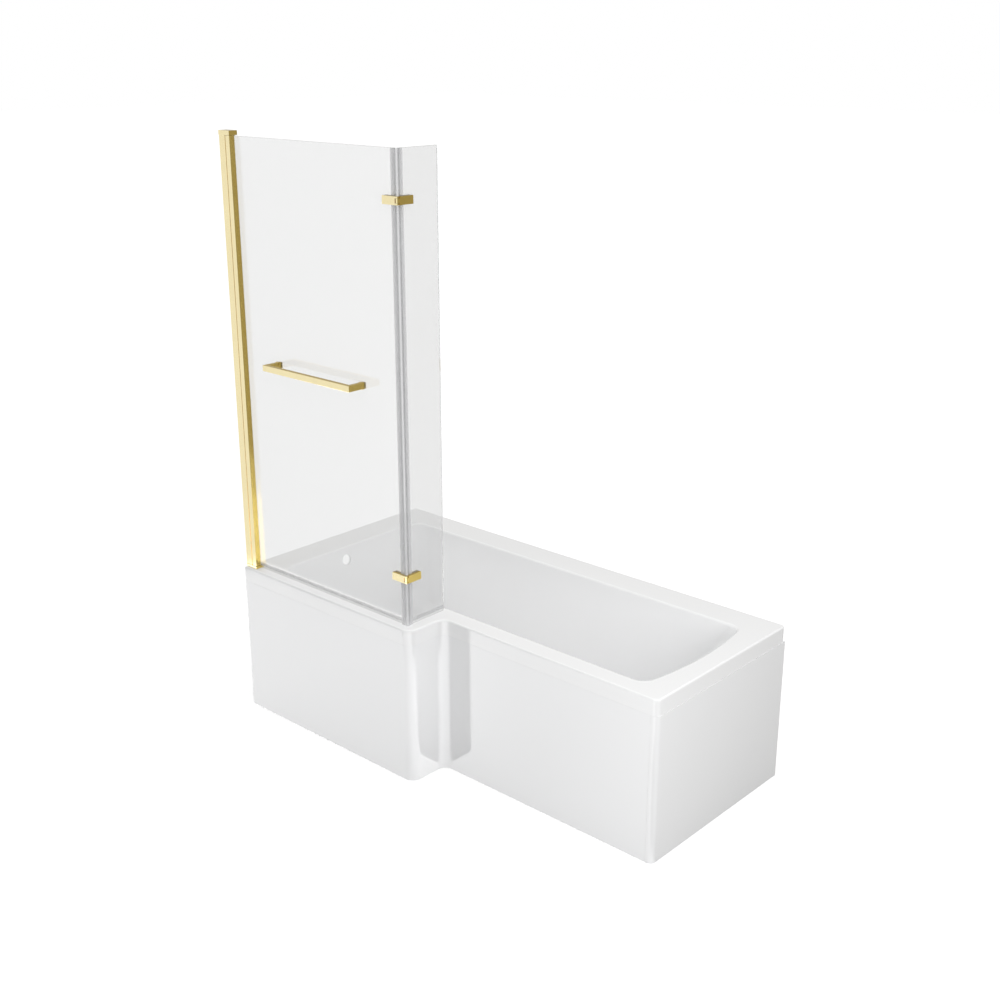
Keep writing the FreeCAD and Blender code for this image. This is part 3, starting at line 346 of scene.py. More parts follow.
# %% Brushed lines
fine = {"AcrossX": 900.0, "AcrossY": 900.0, "AcrossZ": 900.0}
brush, inside, outside = effect("brushed_lines", fine, ["Lines"])
spot = add(brush, "ShaderNodeTexCoord").outputs["Object"]
stretch = add(brush, "ShaderNodeCombineXYZ",
              {axis: inside.outputs["Across" + axis] for axis in ("X", "Y", "Z")})
drawn = add(brush, "ShaderNodeVectorMath", {0: spot, 1: stretch.outputs[0]}, operation="MULTIPLY")
streak = add(brush, "ShaderNodeTexNoise", {"Vector": drawn.outputs[0], "Scale": 1.0, "Detail": 2.0})
brush.links.new(streak.outputs["Fac"], outside.inputs["Lines"])
print("group", brush.name)

# %% Moulded grain
grain, inside, outside = effect("moulded_grain", {"Scale": 900.0, "Detail": 2.0}, ["Grain"])
spot = add(grain, "ShaderNodeTexCoord").outputs["Object"]
pebble = add(grain, "ShaderNodeTexNoise", {"Vector": spot, "Scale": inside.outputs["Scale"],
                                           "Detail": inside.outputs["Detail"]})
grain.links.new(pebble.outputs["Fac"], outside.inputs["Grain"])
print("group", grain.name)

# %% Painted shade by facing
facing_shade, inside, outside = effect("polished_faces", {"Start": -0.1, "Full": 0.6}, ["Polished"])
# Faces whose normal turns this way get the painted shade.
shaded_way = (0.6, 0.3, 0.6)
facing = dot(facing_shade, add(facing_shade, "ShaderNodeTexCoord").outputs["Normal"], shaded_way)
mask = ramp(facing_shade, facing, inside.outputs["Start"], inside.outputs["Full"])
facing_shade.links.new(mask, outside.inputs["Polished"])
print("group", facing_shade.name)


# %% Bump helper
def bump(tree, shader, height, strength, distance):
    """Let a height tilt the normals of the shader."""
    relief = add(tree, "ShaderNodeBump", {"Height": height, "Strength": strength, "Distance": distance})
    tree.links.new(relief.outputs["Normal"], shader.inputs["Normal"])


finishes = {}
print("bump helper ready")

# %% [markdown]
# ## Acrylic
# The shell is a sheet of gloss white acrylic drawn hot into a mould. Its gloss is high but not
# perfect: the sheet keeps a very faint orange peel, and the tone drifts a little where the sheet
# was stretched. The panels are the same plastic, flatter and a touch cooler.


# %% Gloss white acrylic
def acrylic(name, pale, deep, gloss, peel):
    """Gloss acrylic: tone drifts between two whites, gloss between two roughnesses, faint orange peel."""
    finish, tree, shader = new_finish(name)
    drift = use(tree, cloud, Scale=2.3, Contrast=1.6)["Cloud"]
    smear = use(tree, cloud, Scale=11.0, Contrast=2.2)["Cloud"]
    worn = use(tree, rub, Radius=0.004, Strength=3.0, Breakup=45.0)["Rub"]
    tree.links.new(blend_colour(tree, drift, deep, pale), shader.inputs["Base Color"])
    edge_loss = 0.06
    dulled = arith(tree, "MULTIPLY", worn, edge_loss)
    tree.links.new(arith(tree, "ADD", between(tree, smear, *gloss), dulled), shader.inputs["Roughness"])
    shader.inputs["IOR"].default_value = 1.49
    shader.inputs["Specular IOR Level"].default_value = 0.5
    orange_peel = use(tree, grain, Scale=130.0, Detail=1.0)["Grain"]
    bump(tree, shader, orange_peel, strength=peel, distance=0.0004)
    finishes[name] = finish
    print("finish", name)


acrylic("acrylic_shell", pale=(0.900, 0.901, 0.903), deep=(0.888, 0.890, 0.893), gloss=(0.06, 0.11),
        peel=0.02)
acrylic("acrylic_panel", pale=(0.889, 0.891, 0.895), deep=(0.876, 0.879, 0.885), gloss=(0.06, 0.10),
        peel=0.02)

# %% [markdown]
# ## Brass
# The screen's fittings are brass. The front keeps a pale gold. Faces turned to the right and up
# get a deeper gold that is painted on as shade, and the back lies between the two. A metal has no
# colour of its own but tints what it reflects, so the shader is fully metallic, and fine drawn lines
# vary its roughness. Handling polishes the edges a little paler.

# %% Satin brass
plain_gold = ((0.77, 0.67, 0.40), (0.82, 0.72, 0.44))
# Painted shade: a deeper gold for faces turned to the right and up.
painted_shade_gold = ((0.80, 0.60, 0.17), (0.85, 0.65, 0.20))
rubbed_gold = (0.93, 0.84, 0.56)


def brass(name, lines, gloss):
    """Satin brass: pale front, painted shade of deeper gold on right and upper faces, drawn lines, paler
    edges.
    """
    finish, tree, shader = new_finish(name)
    drawn = use(tree, brush, AcrossX=lines[0], AcrossY=lines[1], AcrossZ=lines[2])["Lines"]
    drift = use(tree, cloud, Scale=14.0, Contrast=1.6)["Cloud"]
    worn = use(tree, rub, Radius=0.0012, Strength=3.0, Breakup=120.0)["Rub"]
    # Painted shade: the tint turns to the deeper gold on faces turned to the right and up.
    painted_shade = use(tree, facing_shade, Start=-0.1, Full=0.6)["Polished"]
    pale = blend_colour(tree, drift, *plain_gold)
    deep = blend_colour(tree, drift, *painted_shade_gold)
    tint = blend_colour(tree, painted_shade, pale, deep)
    tree.links.new(blend_colour(tree, worn, tint, rubbed_gold), shader.inputs["Base Color"])
    tree.links.new(between(tree, drawn, *gloss), shader.inputs["Roughness"])
    shader.inputs["Metallic"].default_value = 1.0
    bump(tree, shader, drawn, strength=0.06, distance=0.0001)
    finishes[name] = finish
    print("finish", name)


brass("brass_profile", lines=(1600.0, 1600.0, 18.0), gloss=(0.09, 0.16))
brass("brass_fitting", lines=(20.0, 1400.0, 1400.0), gloss=(0.10, 0.18))

# %% [markdown]
# ## Steel
# Pins are bare drawn steel. The leg frame is sheet steel with a zinc coat, which sets in flat
# crystals. A Voronoi pattern gives each crystal its own tint, and drawn lines vary the gloss.


# %% Steel pins and galvanised sheet
def steel(name, tints, gloss, lines):
    """Bare or zinc-coated steel: crystal patches vary the tint, drawn lines the gloss."""
    finish, tree, shader = new_finish(name)
    spot = add(tree, "ShaderNodeTexCoord").outputs["Object"]
    crystal = add(tree, "ShaderNodeTexVoronoi", {"Vector": spot, "Scale": 110.0, "Randomness": 1.0})
    patch = add(tree, "ShaderNodeSeparateColor", {"Color": crystal.outputs["Color"]}).outputs["Red"]
    drawn = use(tree, brush, AcrossX=lines[0], AcrossY=lines[1], AcrossZ=lines[2])["Lines"]
    tree.links.new(blend_colour(tree, patch, *tints), shader.inputs["Base Color"])
    tree.links.new(between(tree, drawn, *gloss), shader.inputs["Roughness"])
    shader.inputs["Metallic"].default_value = 1.0
    bump(tree, shader, drawn, strength=0.05, distance=0.0001)
    finishes[name] = finish
    print("finish", name)


steel("steel_pin", ((0.56, 0.56, 0.55), (0.64, 0.64, 0.63)), gloss=(0.18, 0.30), lines=(700.0, 700.0, 60.0))
steel("galvanised", ((0.46, 0.48, 0.50), (0.62, 0.64, 0.65)), gloss=(0.30, 0.46), lines=(300.0, 40.0, 300.0))

# %% [markdown]
# ## Glass and clear seals
# The screen is clear toughened glass with a thin water-shedding film that scatters a little light,
# so what stands behind it looks paler. Its edges are faintly green. The seals are soft clear
# plastic: light passes through them but scatters, so they read as pale grey strips.


# %% Clear glass
def glass(name, clear, green):
    """Clear glass: edges take the green of the sheet's depth, a film varies the gloss."""
    finish, tree, shader = new_finish(name)
    edge_green = use(tree, rub, Radius=0.003, Strength=5.0, Breakup=8.0)["Rub"]
    tree.links.new(blend_colour(tree, edge_green, clear, green), shader.inputs["Base Color"])
    film = use(tree, cloud, Scale=5.0, Contrast=2.0)["Cloud"]
    tree.links.new(between(tree, film, 0.0, 0.012), shader.inputs["Roughness"])
    shader.inputs["IOR"].default_value = 1.5
    shader.inputs["Transmission Weight"].default_value = 0.87
    finishes[name] = finish
    print("finish", name)


glass("clear_glass", clear=(0.880, 0.882, 0.881), green=(0.66, 0.72, 0.695))
# The return pane is the same glass, tinted darker as painted shade.
glass("return_clear_glass", clear=(0.840, 0.842, 0.843), green=(0.63, 0.69, 0.67))


# %% Clear seals, a thin one and a thick one
def soft_seal(name, greys, cover):
    """Clear soft plastic: cloudy grey that covers a share of what is behind it, drawn lines in its gloss."""
    finish, tree, shader = new_finish(name)
    haze = use(tree, cloud, Scale=30.0, Contrast=1.8)["Cloud"]
    tree.links.new(blend_colour(tree, haze, *greys), shader.inputs["Base Color"])
    drawn = use(tree, brush, AcrossX=900.0, AcrossY=900.0, AcrossZ=12.0)["Lines"]
    tree.links.new(between(tree, drawn, 0.20, 0.32), shader.inputs["Roughness"])
    tree.links.new(between(tree, haze, *cover), shader.inputs["Alpha"])
    shader.inputs["IOR"].default_value = 1.45
    bump(tree, shader, drawn, strength=0.03, distance=0.0002)
    finishes[name] = finish
    print("finish", name)


soft_seal("clear_seal", ((0.45, 0.45, 0.46), (0.51, 0.51, 0.52)), cover=(0.19, 0.23))
soft_seal("thick_seal", ((0.57, 0.57, 0.58), (0.59, 0.59, 0.60)), cover=(0.38, 0.41))

# %% [markdown]
# ## Hidden materials
# Under the shell there are raw chipboard, sawn softwood battens, zinc-coated steel, moulded black
# feet, nylon washers and rubber pads. They show from behind, so they get their own finishes.

# %% Chipboard
finish, tree, shader = new_finish("chipboard")
spot = add(tree, "ShaderNodeTexCoord").outputs["Object"]
flake = add(tree, "ShaderNodeTexVoronoi", {"Vector": spot, "Scale": 320.0, "Randomness": 1.0})
tone = add(tree, "ShaderNodeSeparateColor", {"Color": flake.outputs["Color"]}).outputs["Green"]
chips = blend_colour(tree, tone, (0.42, 0.29, 0.16), (0.72, 0.56, 0.37))
tree.links.new(chips, shader.inputs["Base Color"])
tree.links.new(between(tree, tone, 0.75, 0.92), shader.inputs["Roughness"])
bump(tree, shader, flake.outputs["Distance"], strength=0.25, distance=0.0006)
finishes["chipboard"] = finish
print("finish chipboard")

# %% Softwood battens
finish, tree, shader = new_finish("timber")
ring = use(tree, brush, AcrossX=14.0, AcrossY=170.0, AcrossZ=170.0)["Lines"]
fibre = use(tree, brush, AcrossX=60.0, AcrossY=1500.0, AcrossZ=1500.0)["Lines"]
rings = blend_colour(tree, ring, (0.55, 0.36, 0.19), (0.82, 0.66, 0.44))
tree.links.new(rings, shader.inputs["Base Color"])
tree.links.new(between(tree, fibre, 0.6, 0.8), shader.inputs["Roughness"])
bump(tree, shader, fibre, strength=0.2, distance=0.0003)
finishes["timber"] = finish
print("finish timber")


# %% Moulded plastics and rubber
def moulded(name, tints, gloss, scale, relief):
    """Moulded plastic or rubber: cloudy tint, fine grain in gloss and relief."""
    finish, tree, shader = new_finish(name)
    drift = use(tree, cloud, Scale=40.0, Contrast=1.8)["Cloud"]
    pebble = use(tree, grain, Scale=scale, Detail=3.0)["Grain"]
    tree.links.new(blend_colour(tree, drift, *tints), shader.inputs["Base Color"])
    tree.links.new(between(tree, pebble, *gloss), shader.inputs["Roughness"])
    bump(tree, shader, pebble, strength=relief, distance=0.0003)
    finishes[name] = finish
    print("finish", name)


moulded("foot_plastic", ((0.015, 0.015, 0.017), (0.030, 0.030, 0.032)), gloss=(0.40, 0.62), scale=700.0,
        relief=0.15)
moulded("nylon", ((0.80, 0.78, 0.72), (0.88, 0.87, 0.82)), gloss=(0.30, 0.45), scale=600.0, relief=0.08)
moulded("grey_rubber", ((0.10, 0.10, 0.105), (0.16, 0.16, 0.165)), gloss=(0.60, 0.80), scale=900.0,
        relief=0.12)
moulded("gold_vinyl", ((0.74, 0.64, 0.40), (0.82, 0.73, 0.48)), gloss=(0.35, 0.50), scale=800.0, relief=0.08)

# %% [markdown]
# ## Finishes onto the solids
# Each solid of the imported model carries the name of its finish, so a loop swaps the plain material
# for the one made above. Soft light has to pass the clear pieces as if they were not there, because
# glass would otherwise throw a grey shadow.


# %% Finishes onto the solids
def let_light_pass(piece):
    """Keep a clear piece from shading matt surfaces."""
    piece.visible_diffuse = False
    piece.visible_shadow = False


for piece in nodes.values():
    for holder in piece.material_slots:
        holder.material = finishes[holder.material.name.split(".")[0]]
nodes["glazing_gasket"].material_slots[0].material = finishes["gold_vinyl"]
# The return pane gets the darker copy of the glass, which is painted shade.
nodes["return_glass"].material_slots[0].material = finishes["return_clear_glass"]
for name in ("main_glass", "return_glass"):
    let_light_pass(nodes[name])
print("finishes set on", len(nodes), "solids")

# %% [markdown]
# ## Broken edges
# No metal edge is knife sharp: the maker breaks it, and the narrow slope catches the light. Three
# modifiers do that on the solids: Weld joins the corners of neighbouring faces, Bevel slopes the
# edges, and Weighted Normal keeps the flat faces flat in the shading.

# %% Slopes along the brass edges
weld_reach = 0.00001
sharp_from = 35.0


def break_edges(name, width):
    """Slope all sharp edges by a width."""
    piece = nodes[name]
    weld = piece.modifiers.new("join_corners", "WELD")
    weld.merge_threshold = weld_reach
    slope = piece.modifiers.new("slope_edges", "BEVEL")
    slope.width = width
    slope.segments = 2
    slope.limit_method = "ANGLE"
    slope.angle_limit = math.radians(sharp_from)
    even = piece.modifiers.new("even_shading", "WEIGHTED_NORMAL")
    even.keep_sharp = False


broken = {"top_cap": 0.0007, "bottom_cap": 0.0007, "rail_collars": 0.0006, "rail_inner_caps": 0.0006}
for level in ("upper", "lower"):
    for leaf in ("fork", "tongue", "main_clamp", "return_clamp"):
        broken[f"{level}_hinge_{leaf}"] = 0.0006
for name, width in broken.items():
    break_edges(name, width)
print("edges broken on", len(broken), "solids")

# %% [markdown]
# ## Clear seals
# Soft plastic strips close the gaps of the screen. Each has one outline all along, as it leaves the
# extruder, so it is an outline carried straight from one end to the other. The corners of the
# outline are rounded, and it keeps a hair's breadth clear of the glass, because two see-through
# faces in one place would show as dirt.

# %% Helpers for outlines
round_steps = 5


def rounded(corners, radius):
    """Closed outline whose corners are curves: each point is (1-t)^2 a + 2t(1-t) c + t^2 b, from one
    tangent point a over the corner c to the other tangent point b."""
    corners = np.asarray(corners, dtype=float)
    before = np.roll(corners, 1, axis=0) - corners
    after = np.roll(corners, -1, axis=0) - corners
    first = corners + radius * before / np.linalg.norm(before, axis=1, keepdims=True)
    last = corners + radius * after / np.linalg.norm(after, axis=1, keepdims=True)
    t = np.linspace(0.0, 1.0, round_steps)[None, :, None]
    curve = (1 - t) ** 2 * first[:, None] + 2 * t * (1 - t) * corners[:, None] + t ** 2 * last[:, None]
    return curve.reshape(-1, 2)


def carried(outline, axis, low, high):
    """Closed strip: every point of the outline moves straight along one axis from low to high."""
    count = len(outline)
    ends = [np.insert(outline, axis, level, axis=1) for level in (low, high)]
    here = np.arange(count)
    there = np.roll(here, -1)
    sides = np.stack([here, there, there + count, here + count], axis=-1)
    return np.concatenate(ends), sides.tolist() + [here[::-1].tolist(), (here + count).tolist()]


print("curves of", round_steps, "points at each corner")

# %% Helpers for pieces
smooth_up_to = 38.0


def joined(parts):
    """Several meshes as one: the face numbers of each move up by the points before it."""
    points, faces, shift = [], [], 0
    for part_points, part_faces in parts:
        points.append(part_points)
        faces += [[number + shift for number in face] for face in part_faces]
        shift += len(part_points)
    return np.concatenate(points), faces


def new_piece(name, points, faces, body, slot, *solids):
    """A smooth mesh piece with outward faces that rides on a body and stands for some solids."""
    shape = bmesh.new()
    mesh = bpy.data.meshes.new(name)
    mesh.from_pydata(points.tolist(), [], faces)
    shape.from_mesh(mesh)
    bmesh.ops.recalc_face_normals(shape, faces=shape.faces)
    shape.to_mesh(mesh)
    shape.free()
    mesh.shade_smooth()
    mesh.set_sharp_from_angle(angle=math.radians(smooth_up_to))
    mesh.materials.append(finishes[slot])
    piece = bpy.data.objects.new(name, mesh)
    scene.collection.objects.link(piece)
    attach(piece, body)
    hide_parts(*solids)
    print(name, "has", len(points), "points")
    return piece


print("shading stays smooth up to", smooth_up_to, "degrees")

# %% Seals under the panels
hair = 0.0001
blade_half = 0.0012
sheet = 0.0015
wiper_round = 0.0004


def wiper_outline(middle, half, low, glass_low, high):
    """Outline of a bottom seal: two cheeks hold the glass, a web lies under it, a blade hangs from it."""
    outer = half + sheet
    web = glass_low - sheet
    inner = half + hair
    return rounded([(middle - outer, high), (middle - outer, web), (middle - blade_half, web),
                    (middle - blade_half, low), (middle + blade_half, low), (middle + blade_half, web),
                    (middle + outer, web), (middle + outer, high), (middle + inner, high),
                    (middle + inner, glass_low - hair), (middle - inner, glass_low - hair),
                    (middle - inner, high)], wiper_round)


for name, pane, run, across, body in (("main_bottom_seal", "main_glass", 0, 1, "screen"),
                                      ("return_bottom_seal", "return_glass", 1, 0, "return")):
    low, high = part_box(name)
    glass_low, glass_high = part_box(pane)
    middle = (glass_low[across] + glass_high[across]) / 2
    half = (glass_high[across] - glass_low[across]) / 2
    outline = wiper_outline(middle, half, low[2], glass_low[2], high[2])
    strip = carried(outline, run, low[run], high[run])
    seal = new_piece(name + "_strip", *strip, body, "clear_seal", name)
    let_light_pass(seal)

# %% Lengths between the hinges
seal_gap = 0.0004
corner_low, corner_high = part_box("corner_seal")
lengths = [(corner_low[2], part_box("lower_hinge_fork")[0][2] - seal_gap),
           (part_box("lower_hinge_fork")[1][2] + seal_gap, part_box("upper_hinge_fork")[0][2] - seal_gap),
           (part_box("upper_hinge_fork")[1][2] + seal_gap, corner_high[2])]
print("corner seals are cut into", len(lengths), "lengths")

# %% Bulb seal in the corner
main_low, main_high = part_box("main_glass")
edge_low, edge_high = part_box("return_edge_seal")
bulb_radius = 0.0065
bulb_points = 40
neck_half = 0.0015
corner_round = 0.0003
web = main_high[0] + sheet
bulb_x = corner_high[0] - bulb_radius
bulb_y = edge_low[1] - seal_gap - bulb_radius
turn = np.arcsin(neck_half / bulb_radius)
angle = np.linspace(np.pi + turn, 3.0 * np.pi - turn, bulb_points)
bulb = np.stack([bulb_x + bulb_radius * np.cos(angle), bulb_y + bulb_radius * np.sin(angle)], axis=-1)
neck_start = (web, bulb_y - neck_half)
neck_end = (web, bulb_y + neck_half)
outer = rounded([(corner_low[0], corner_low[1]), (web, corner_low[1]), neck_start], corner_round)
inner = rounded([neck_end, (web, main_high[1] + sheet), (corner_low[0], main_high[1] + sheet),
                 (corner_low[0], main_high[1] + hair), (main_high[0] + hair, main_high[1] + hair),
                 (main_high[0] + hair, main_low[1] - hair), (corner_low[0], main_low[1] - hair)],
                corner_round)
corner_outline = np.concatenate([outer[:2 * round_steps], [neck_start], bulb, [neck_end],
                                 inner[round_steps:]])
corner = joined([carried(corner_outline, 2, low, high) for low, high in lengths])
corner_strip = new_piece("corner_seal_strip", *corner, "screen", "clear_seal", "corner_seal")
corner_strip.data.materials[0] = finishes["thick_seal"]
let_light_pass(corner_strip)

# %% Edge seal on the return panel
return_low, return_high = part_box("return_glass")
groove_low = return_low[0] - hair
groove_high = return_high[0] + hair
groove_end = return_low[1] - hair
edge_outline = rounded([(edge_low[0], edge_high[1]), (edge_low[0], edge_low[1]), (edge_high[0], edge_low[1]),
                        (edge_high[0], edge_high[1]), (groove_high, edge_high[1]), (groove_high, groove_end),
                        (groove_low, groove_end), (groove_low, edge_high[1])], corner_round)
edges = joined([carried(edge_outline, 2, low, high) for low, high in lengths])
edge_strip = new_piece("return_edge_seal_strip", *edges, "return", "clear_seal", "return_edge_seal")
edge_strip.data.materials[0] = finishes["thick_seal"]
let_light_pass(edge_strip)

# %% [markdown]
# ## Turned and threaded pieces
# Rods, feet, nuts and screws are round an axis. One helper winds rings of points round any axis:
# every ring has its own radius and height, and both may vary round the ring. That is enough for a
# thread, whose radius is a cosine of height and angle together, for the six flats of a nut, and for
# the recess in a screw head.


# %% Helper for rings round an axis
UP = np.eye(3)
DOWN = np.array([[1.0, 0.0, 0.0], [0.0, -1.0, 0.0], [0.0, 0.0, -1.0]])
TO_BACK = np.array([[1.0, 0.0, 0.0], [0.0, 0.0, -1.0], [0.0, 1.0, 0.0]])
TO_LEFT = np.array([[0.0, 1.0, 0.0], [0.0, 0.0, -1.0], [-1.0, 0.0, 0.0]])


def around(sides):
    """Angles of the points of one ring."""
    return np.arange(sides) * 2.0 * np.pi / sides


def six_sided(flat, sides):
    """Radius of a ring with six flats: a flat's distance over the cosine of the angle from its middle."""
    return flat / np.cos((around(sides) % (math.pi / 3)) - math.pi / 6)


def wound(radius, height, place, turn, looped=False):
    """Rings round an axis: point (i, j) lies at radius[i, j] and height[i, j], at angle 2 pi j / sides.
    The last ring joins the first one, or both ends close in a point at the middle of the end ring."""
    rings, sides = radius.shape
    angle = around(sides)
    local = np.stack([radius * np.cos(angle), radius * np.sin(angle), height], axis=-1)
    points = local.reshape(-1, 3)
    number = np.arange(rings * sides).reshape(rings, sides)
    upper = np.roll(number, -1, axis=0) if looped else number[1:]
    lower = number if looped else number[:-1]
    quads = np.stack([lower, np.roll(lower, -1, axis=1), np.roll(upper, -1, axis=1), upper], axis=-1)
    faces = quads.reshape(-1, 4).tolist()
    if not looped:
        for row, pole in ((0, len(points)), (-1, len(points) + 1)):
            ring = number[row]
            faces += np.stack([ring, np.roll(ring, -1), np.full(sides, pole)], axis=-1).tolist()
        points = np.concatenate([points, local[[0, -1]].mean(axis=1)])
    return np.asarray(place) + points @ turn, faces


def even_rings(profile, sides):
    """Radius and height of plain round rings from a list of (radius, height)."""
    profile = np.asarray(profile, dtype=float)
    return [np.repeat(profile[:, column, None], sides, axis=1) for column in (0, 1)]


def slot_of(name):
    """Name of the finish that a solid carries."""
    return nodes[name].material_slots[0].material.name.split(".")[0]


print("winding helper ready")

# %% [markdown]
# ## Levelling legs
# Each leg is a threaded rod in a moulded foot. The thread is the surface
# r = r0 - d + d cos(2 pi z / p - a) at height z and angle a, where p is the pitch, so its crest climbs
# one pitch in each turn. The foot has shallow flutes between twelve ribs on its cone. The nut's six
# corners are cut by a cone, so the slope goes deeper at a corner than in the middle of a flat.

# %% Threaded rod of a leg
pitch = 0.0015
thread_half = 0.00042
rod_chamfer = 0.0013
rod_sides = 20
rows_per_pitch = 6


def threaded_rod(leg):
    """Rod with radius r0 - d + d cos(2 pi z / p - a), limited by a slope of 45 degrees at both ends."""
    low, high = [np.array(corner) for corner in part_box(leg + "_rod")]
    middle = (low + high) / 2
    rod_radius = (high[0] - low[0]) / 2
    length = high[2] - low[2]
    level = np.linspace(0.0, length, int(rows_per_pitch * length / pitch))[:, None]
    wave = np.cos(2.0 * np.pi * level / pitch - around(rod_sides)[None, :])
    taper = rod_radius - rod_chamfer + np.minimum(level, length - level)
    rod = np.minimum(rod_radius - thread_half + thread_half * wave, taper)
    stand = (middle[0], middle[1], low[2])
    new_piece(leg + "_threaded_rod", *wound(rod, level + np.zeros_like(rod), stand, UP), leg,
              slot_of(leg + "_rod"), leg + "_rod")
    return stand, rod_radius


print("thread with a pitch of", pitch)

# %% Ribbed foot of a leg
foot_sides = 72
foot_ribs = 12
flute_depth = 0.0009
rim_round = 0.0012
sole_round = 0.0010
small_round = 0.0003
mouth_slope = 0.0006
socket_play = 0.00005
inner_share = 0.4
climb = np.linspace(0.06, 0.95, 9)


def ribbed_foot(leg, stand, rod_radius):
    """Foot round the rod's end: on its cone the height falls by d sin(pi s) (1 + cos(n a)) / 2 at the
    share s of the climb and the angle a, for n ribs."""
    foot_low, foot_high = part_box(leg + "_foot")
    foot_radius = (foot_high[0] - foot_low[0]) / 2
    foot_height = foot_high[2] - foot_low[2]
    sole = stand[2] - foot_low[2]
    collar = 2 * rod_radius
    socket = rod_radius + socket_play
    inward = foot_radius + (collar - foot_radius) * climb
    slope = np.stack([inward, sole + (foot_height - sole) * climb], axis=-1)
    base = [(inner_share * foot_radius, 0.0), (foot_radius - rim_round, 0.0),
            (foot_radius - small_round, small_round), (foot_radius, rim_round),
            (foot_radius, sole - sole_round), (foot_radius - small_round, sole - small_round)]
    top = [(collar - mouth_slope, foot_height), (socket + mouth_slope, foot_height),
           (socket, foot_height - mouth_slope), (socket, sole)]
    radius, height = even_rings(base + slope.tolist() + top, foot_sides)
    ribs = 0.5 + 0.5 * np.cos(foot_ribs * around(foot_sides))
    flute = flute_depth * np.sin(np.pi * climb)[:, None] * ribs[None, :]
    height[len(base):len(base) + len(climb)] -= flute
    new_piece(leg + "_ribbed_foot", *wound(radius, height, (stand[0], stand[1], foot_low[2]), UP), leg,
              slot_of(leg + "_foot"), leg + "_foot")


print("foot with", foot_ribs, "ribs")

# %% Five legs
leg_names = ["wall_end_back_leg", "wall_end_front_leg", "backrest_back_leg", "backrest_front_leg",
             "centre_leg"]
stands = {}
for leg in leg_names:
    stands[leg], rod_radius = threaded_rod(leg)
    ribbed_foot(leg, stands[leg], rod_radius)

# %% Chamfered nuts
nut_round = 0.0098
nut_height = 0.008
nut_bore = 0.0051
nut_sides = 60
cradle_sheet = 0.0025
face_share = 0.97
bore_slope = 0.0005
flat = nut_round * math.cos(math.pi / 6)
hexagon = six_sided(flat, nut_sides)
chamfer = (hexagon - face_share * flat) * math.tan(math.pi / 6)
bore = np.full(nut_sides, nut_bore)
mouth = bore + bore_slope
face = np.full(nut_sides, face_share * flat)
under = np.zeros(nut_sides)
over = under + nut_height
nut_radius = np.stack([mouth, face, hexagon, hexagon, face, mouth, bore, bore])
nut_level = np.stack([under, under, chamfer, nut_height - chamfer, over, over, over - bore_slope,
                      under + bore_slope])
seats = {"wall_end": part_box("wall_end_cradle")[1][2] - cradle_sheet,
         "backrest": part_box("backrest_cradle")[1][2] - cradle_sheet,
         "centre_leg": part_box("centre_leg_plate")[0][2]}
nut_parts = []
for leg, stand in stands.items():
    seat = [level for start, level in seats.items() if leg.startswith(start)][0]
    nut_parts.append(wound(nut_radius, nut_level, (stand[0], stand[1], seat - nut_height), UP, looped=True))
new_piece("leg_nuts_chamfered", *joined(nut_parts), "bath", slot_of("leg_nuts"), "leg_nuts")

# %% [markdown]
# ## Screws
# The brass screws on the inner side of the glass have low domed heads with a six-sided socket. The
# wood screws under the baseboard have flat domed heads with a cross recess. Such a head is the
# height h (1 - f (r / R)^4) at radius r, less the recess where either arm of the cross runs.

# %% Shape of a socket screw
head_radius = 0.0045
head_height = 0.002
head_rim = 0.0006
crown = ((0.0023, 0.0), (0.0034, 0.0002), (0.0042, 0.0007))
shank_radius = 0.0025
tip_slope = 0.0005
socket_flat = 0.0015
socket_depth = 0.0012
socket_edge = 0.0002
screw_sides = 48


def socket_screw(place, length, turn):
    """Screw of rings from the socket's bottom over the crown, given by radius and drop, to the tip. The
    head's underside lies at the place, and the head stands in the direction of the turn's last row."""
    socket = [(0.0, head_height - socket_depth), (0.0, head_height - socket_edge)]
    dome = [(reach, head_height - drop) for reach, drop in crown]
    below = [(head_radius, head_rim), (head_radius, 0.0), (shank_radius, 0.0),
             (shank_radius, tip_slope - length), (shank_radius - tip_slope, -length)]
    radius, height = even_rings(socket + dome + below, screw_sides)
    radius[:len(socket)] = six_sided(socket_flat, screw_sides)
    return wound(radius, height, place, turn)


print("socket of", 2 * socket_flat, "across its flats")

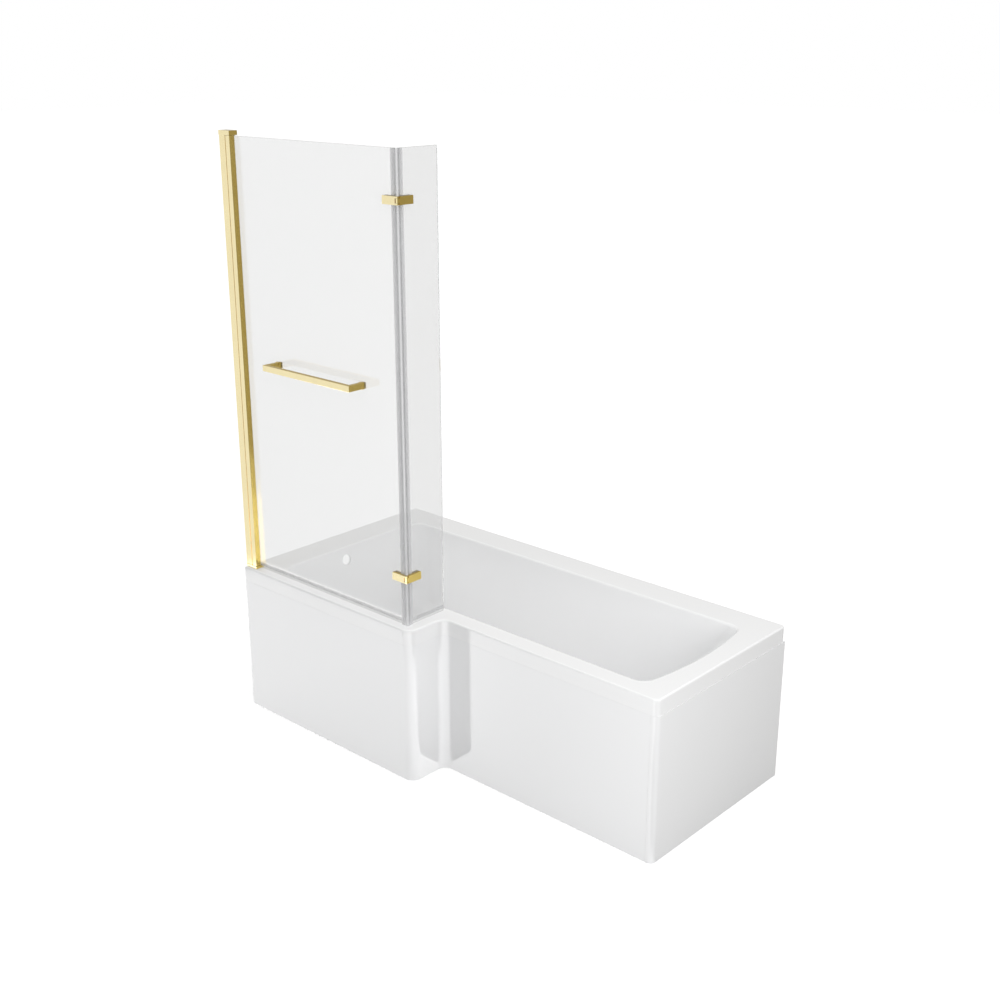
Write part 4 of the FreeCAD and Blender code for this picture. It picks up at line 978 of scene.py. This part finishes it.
# %% Socket screws of the hinges and the rail
low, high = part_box("main_hinge_screws")
length = high[1] - low[1] - head_height
main_screws = [socket_screw((x, high[1] - head_height, z), length, TO_BACK)
               for x in (low[0] + head_radius, high[0] - head_radius)
               for z in (low[2] + head_radius, high[2] - head_radius)]
new_piece("main_hinge_socket_screws", *joined(main_screws), "screen", slot_of("main_hinge_screws"),
          "main_hinge_screws")
low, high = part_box("return_hinge_screws")
length = high[0] - low[0] - head_height
return_screws = [socket_screw((low[0] + head_height, y, z), length, TO_LEFT)
                 for y in (low[1] + head_radius, high[1] - head_radius)
                 for z in (low[2] + head_radius, high[2] - head_radius)]
new_piece("return_hinge_socket_screws", *joined(return_screws), "return", slot_of("return_hinge_screws"),
          "return_hinge_screws")
low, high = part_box("rail_screws")
length = high[1] - low[1] - head_height
rail_fixings = [socket_screw((x, high[1] - head_height, (low[2] + high[2]) / 2), length, TO_BACK)
                for x in (low[0] + head_radius, high[0] - head_radius)]
new_piece("rail_socket_screws", *joined(rail_fixings), "screen", slot_of("rail_screws"), "rail_screws")

# %% Shape of a wood screw
wood_head = 0.004
wood_height = 0.002
wood_rim = 0.0008
wood_shank = 0.002
wood_length = 0.015
point_length = 0.004
point_radius = 0.0004
dome_fall = 0.45
arm_width = 0.0004
arm_reach = 0.0026
arm_fade = 0.0008
recess = 0.0011
wood_sides = 64
angle = around(wood_sides)[None, :]
reach = np.linspace(0.0002, 0.0038, 13)[:, None]
arm = np.minimum(abs(reach * np.sin(angle)), abs(reach * np.cos(angle)))
cross = np.clip(1.5 - arm / arm_width, 0.0, 1.0) * np.clip((arm_reach - reach) / arm_fade, 0.0, 1.0)
dome = wood_height * (1.0 - dome_fall * (reach / wood_head) ** 4) - recess * cross
below = [(wood_head, wood_rim), (wood_head, 0.0), (wood_shank, 0.0),
         (wood_shank, point_length - wood_length), (point_radius, -wood_length)]
below_radius, below_height = even_rings(below, wood_sides)
wood_radius = np.concatenate([np.repeat(reach, wood_sides, axis=1), below_radius])
wood_level = np.concatenate([dome, below_height])
print("wood screw of", len(wood_radius), "rings")

# %% Wood screws under the baseboard
cradle_spread = 0.100
plate_spread = 0.024
places = []
for name, start in (("wall_end_cradle", "wall_end"), ("backrest_cradle", "backrest")):
    low, high = [np.array(corner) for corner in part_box(name)]
    middle = (low + high) / 2
    places += [(middle[0], middle[1] + side * cradle_spread, seats[start]) for side in (-1, 1)]
low, high = [np.array(corner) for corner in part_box("centre_leg_plate")]
middle = (low + high) / 2
places += [(middle[0] + side * plate_spread, middle[1], seats["centre_leg"]) for side in (-1, 1)]
wood_screws = [wound(wood_radius, wood_level, place, DOWN) for place in places]
new_piece("leg_fixing_wood_screws", *joined(wood_screws), "bath", slot_of("leg_fixing_screws"),
          "leg_fixing_screws")
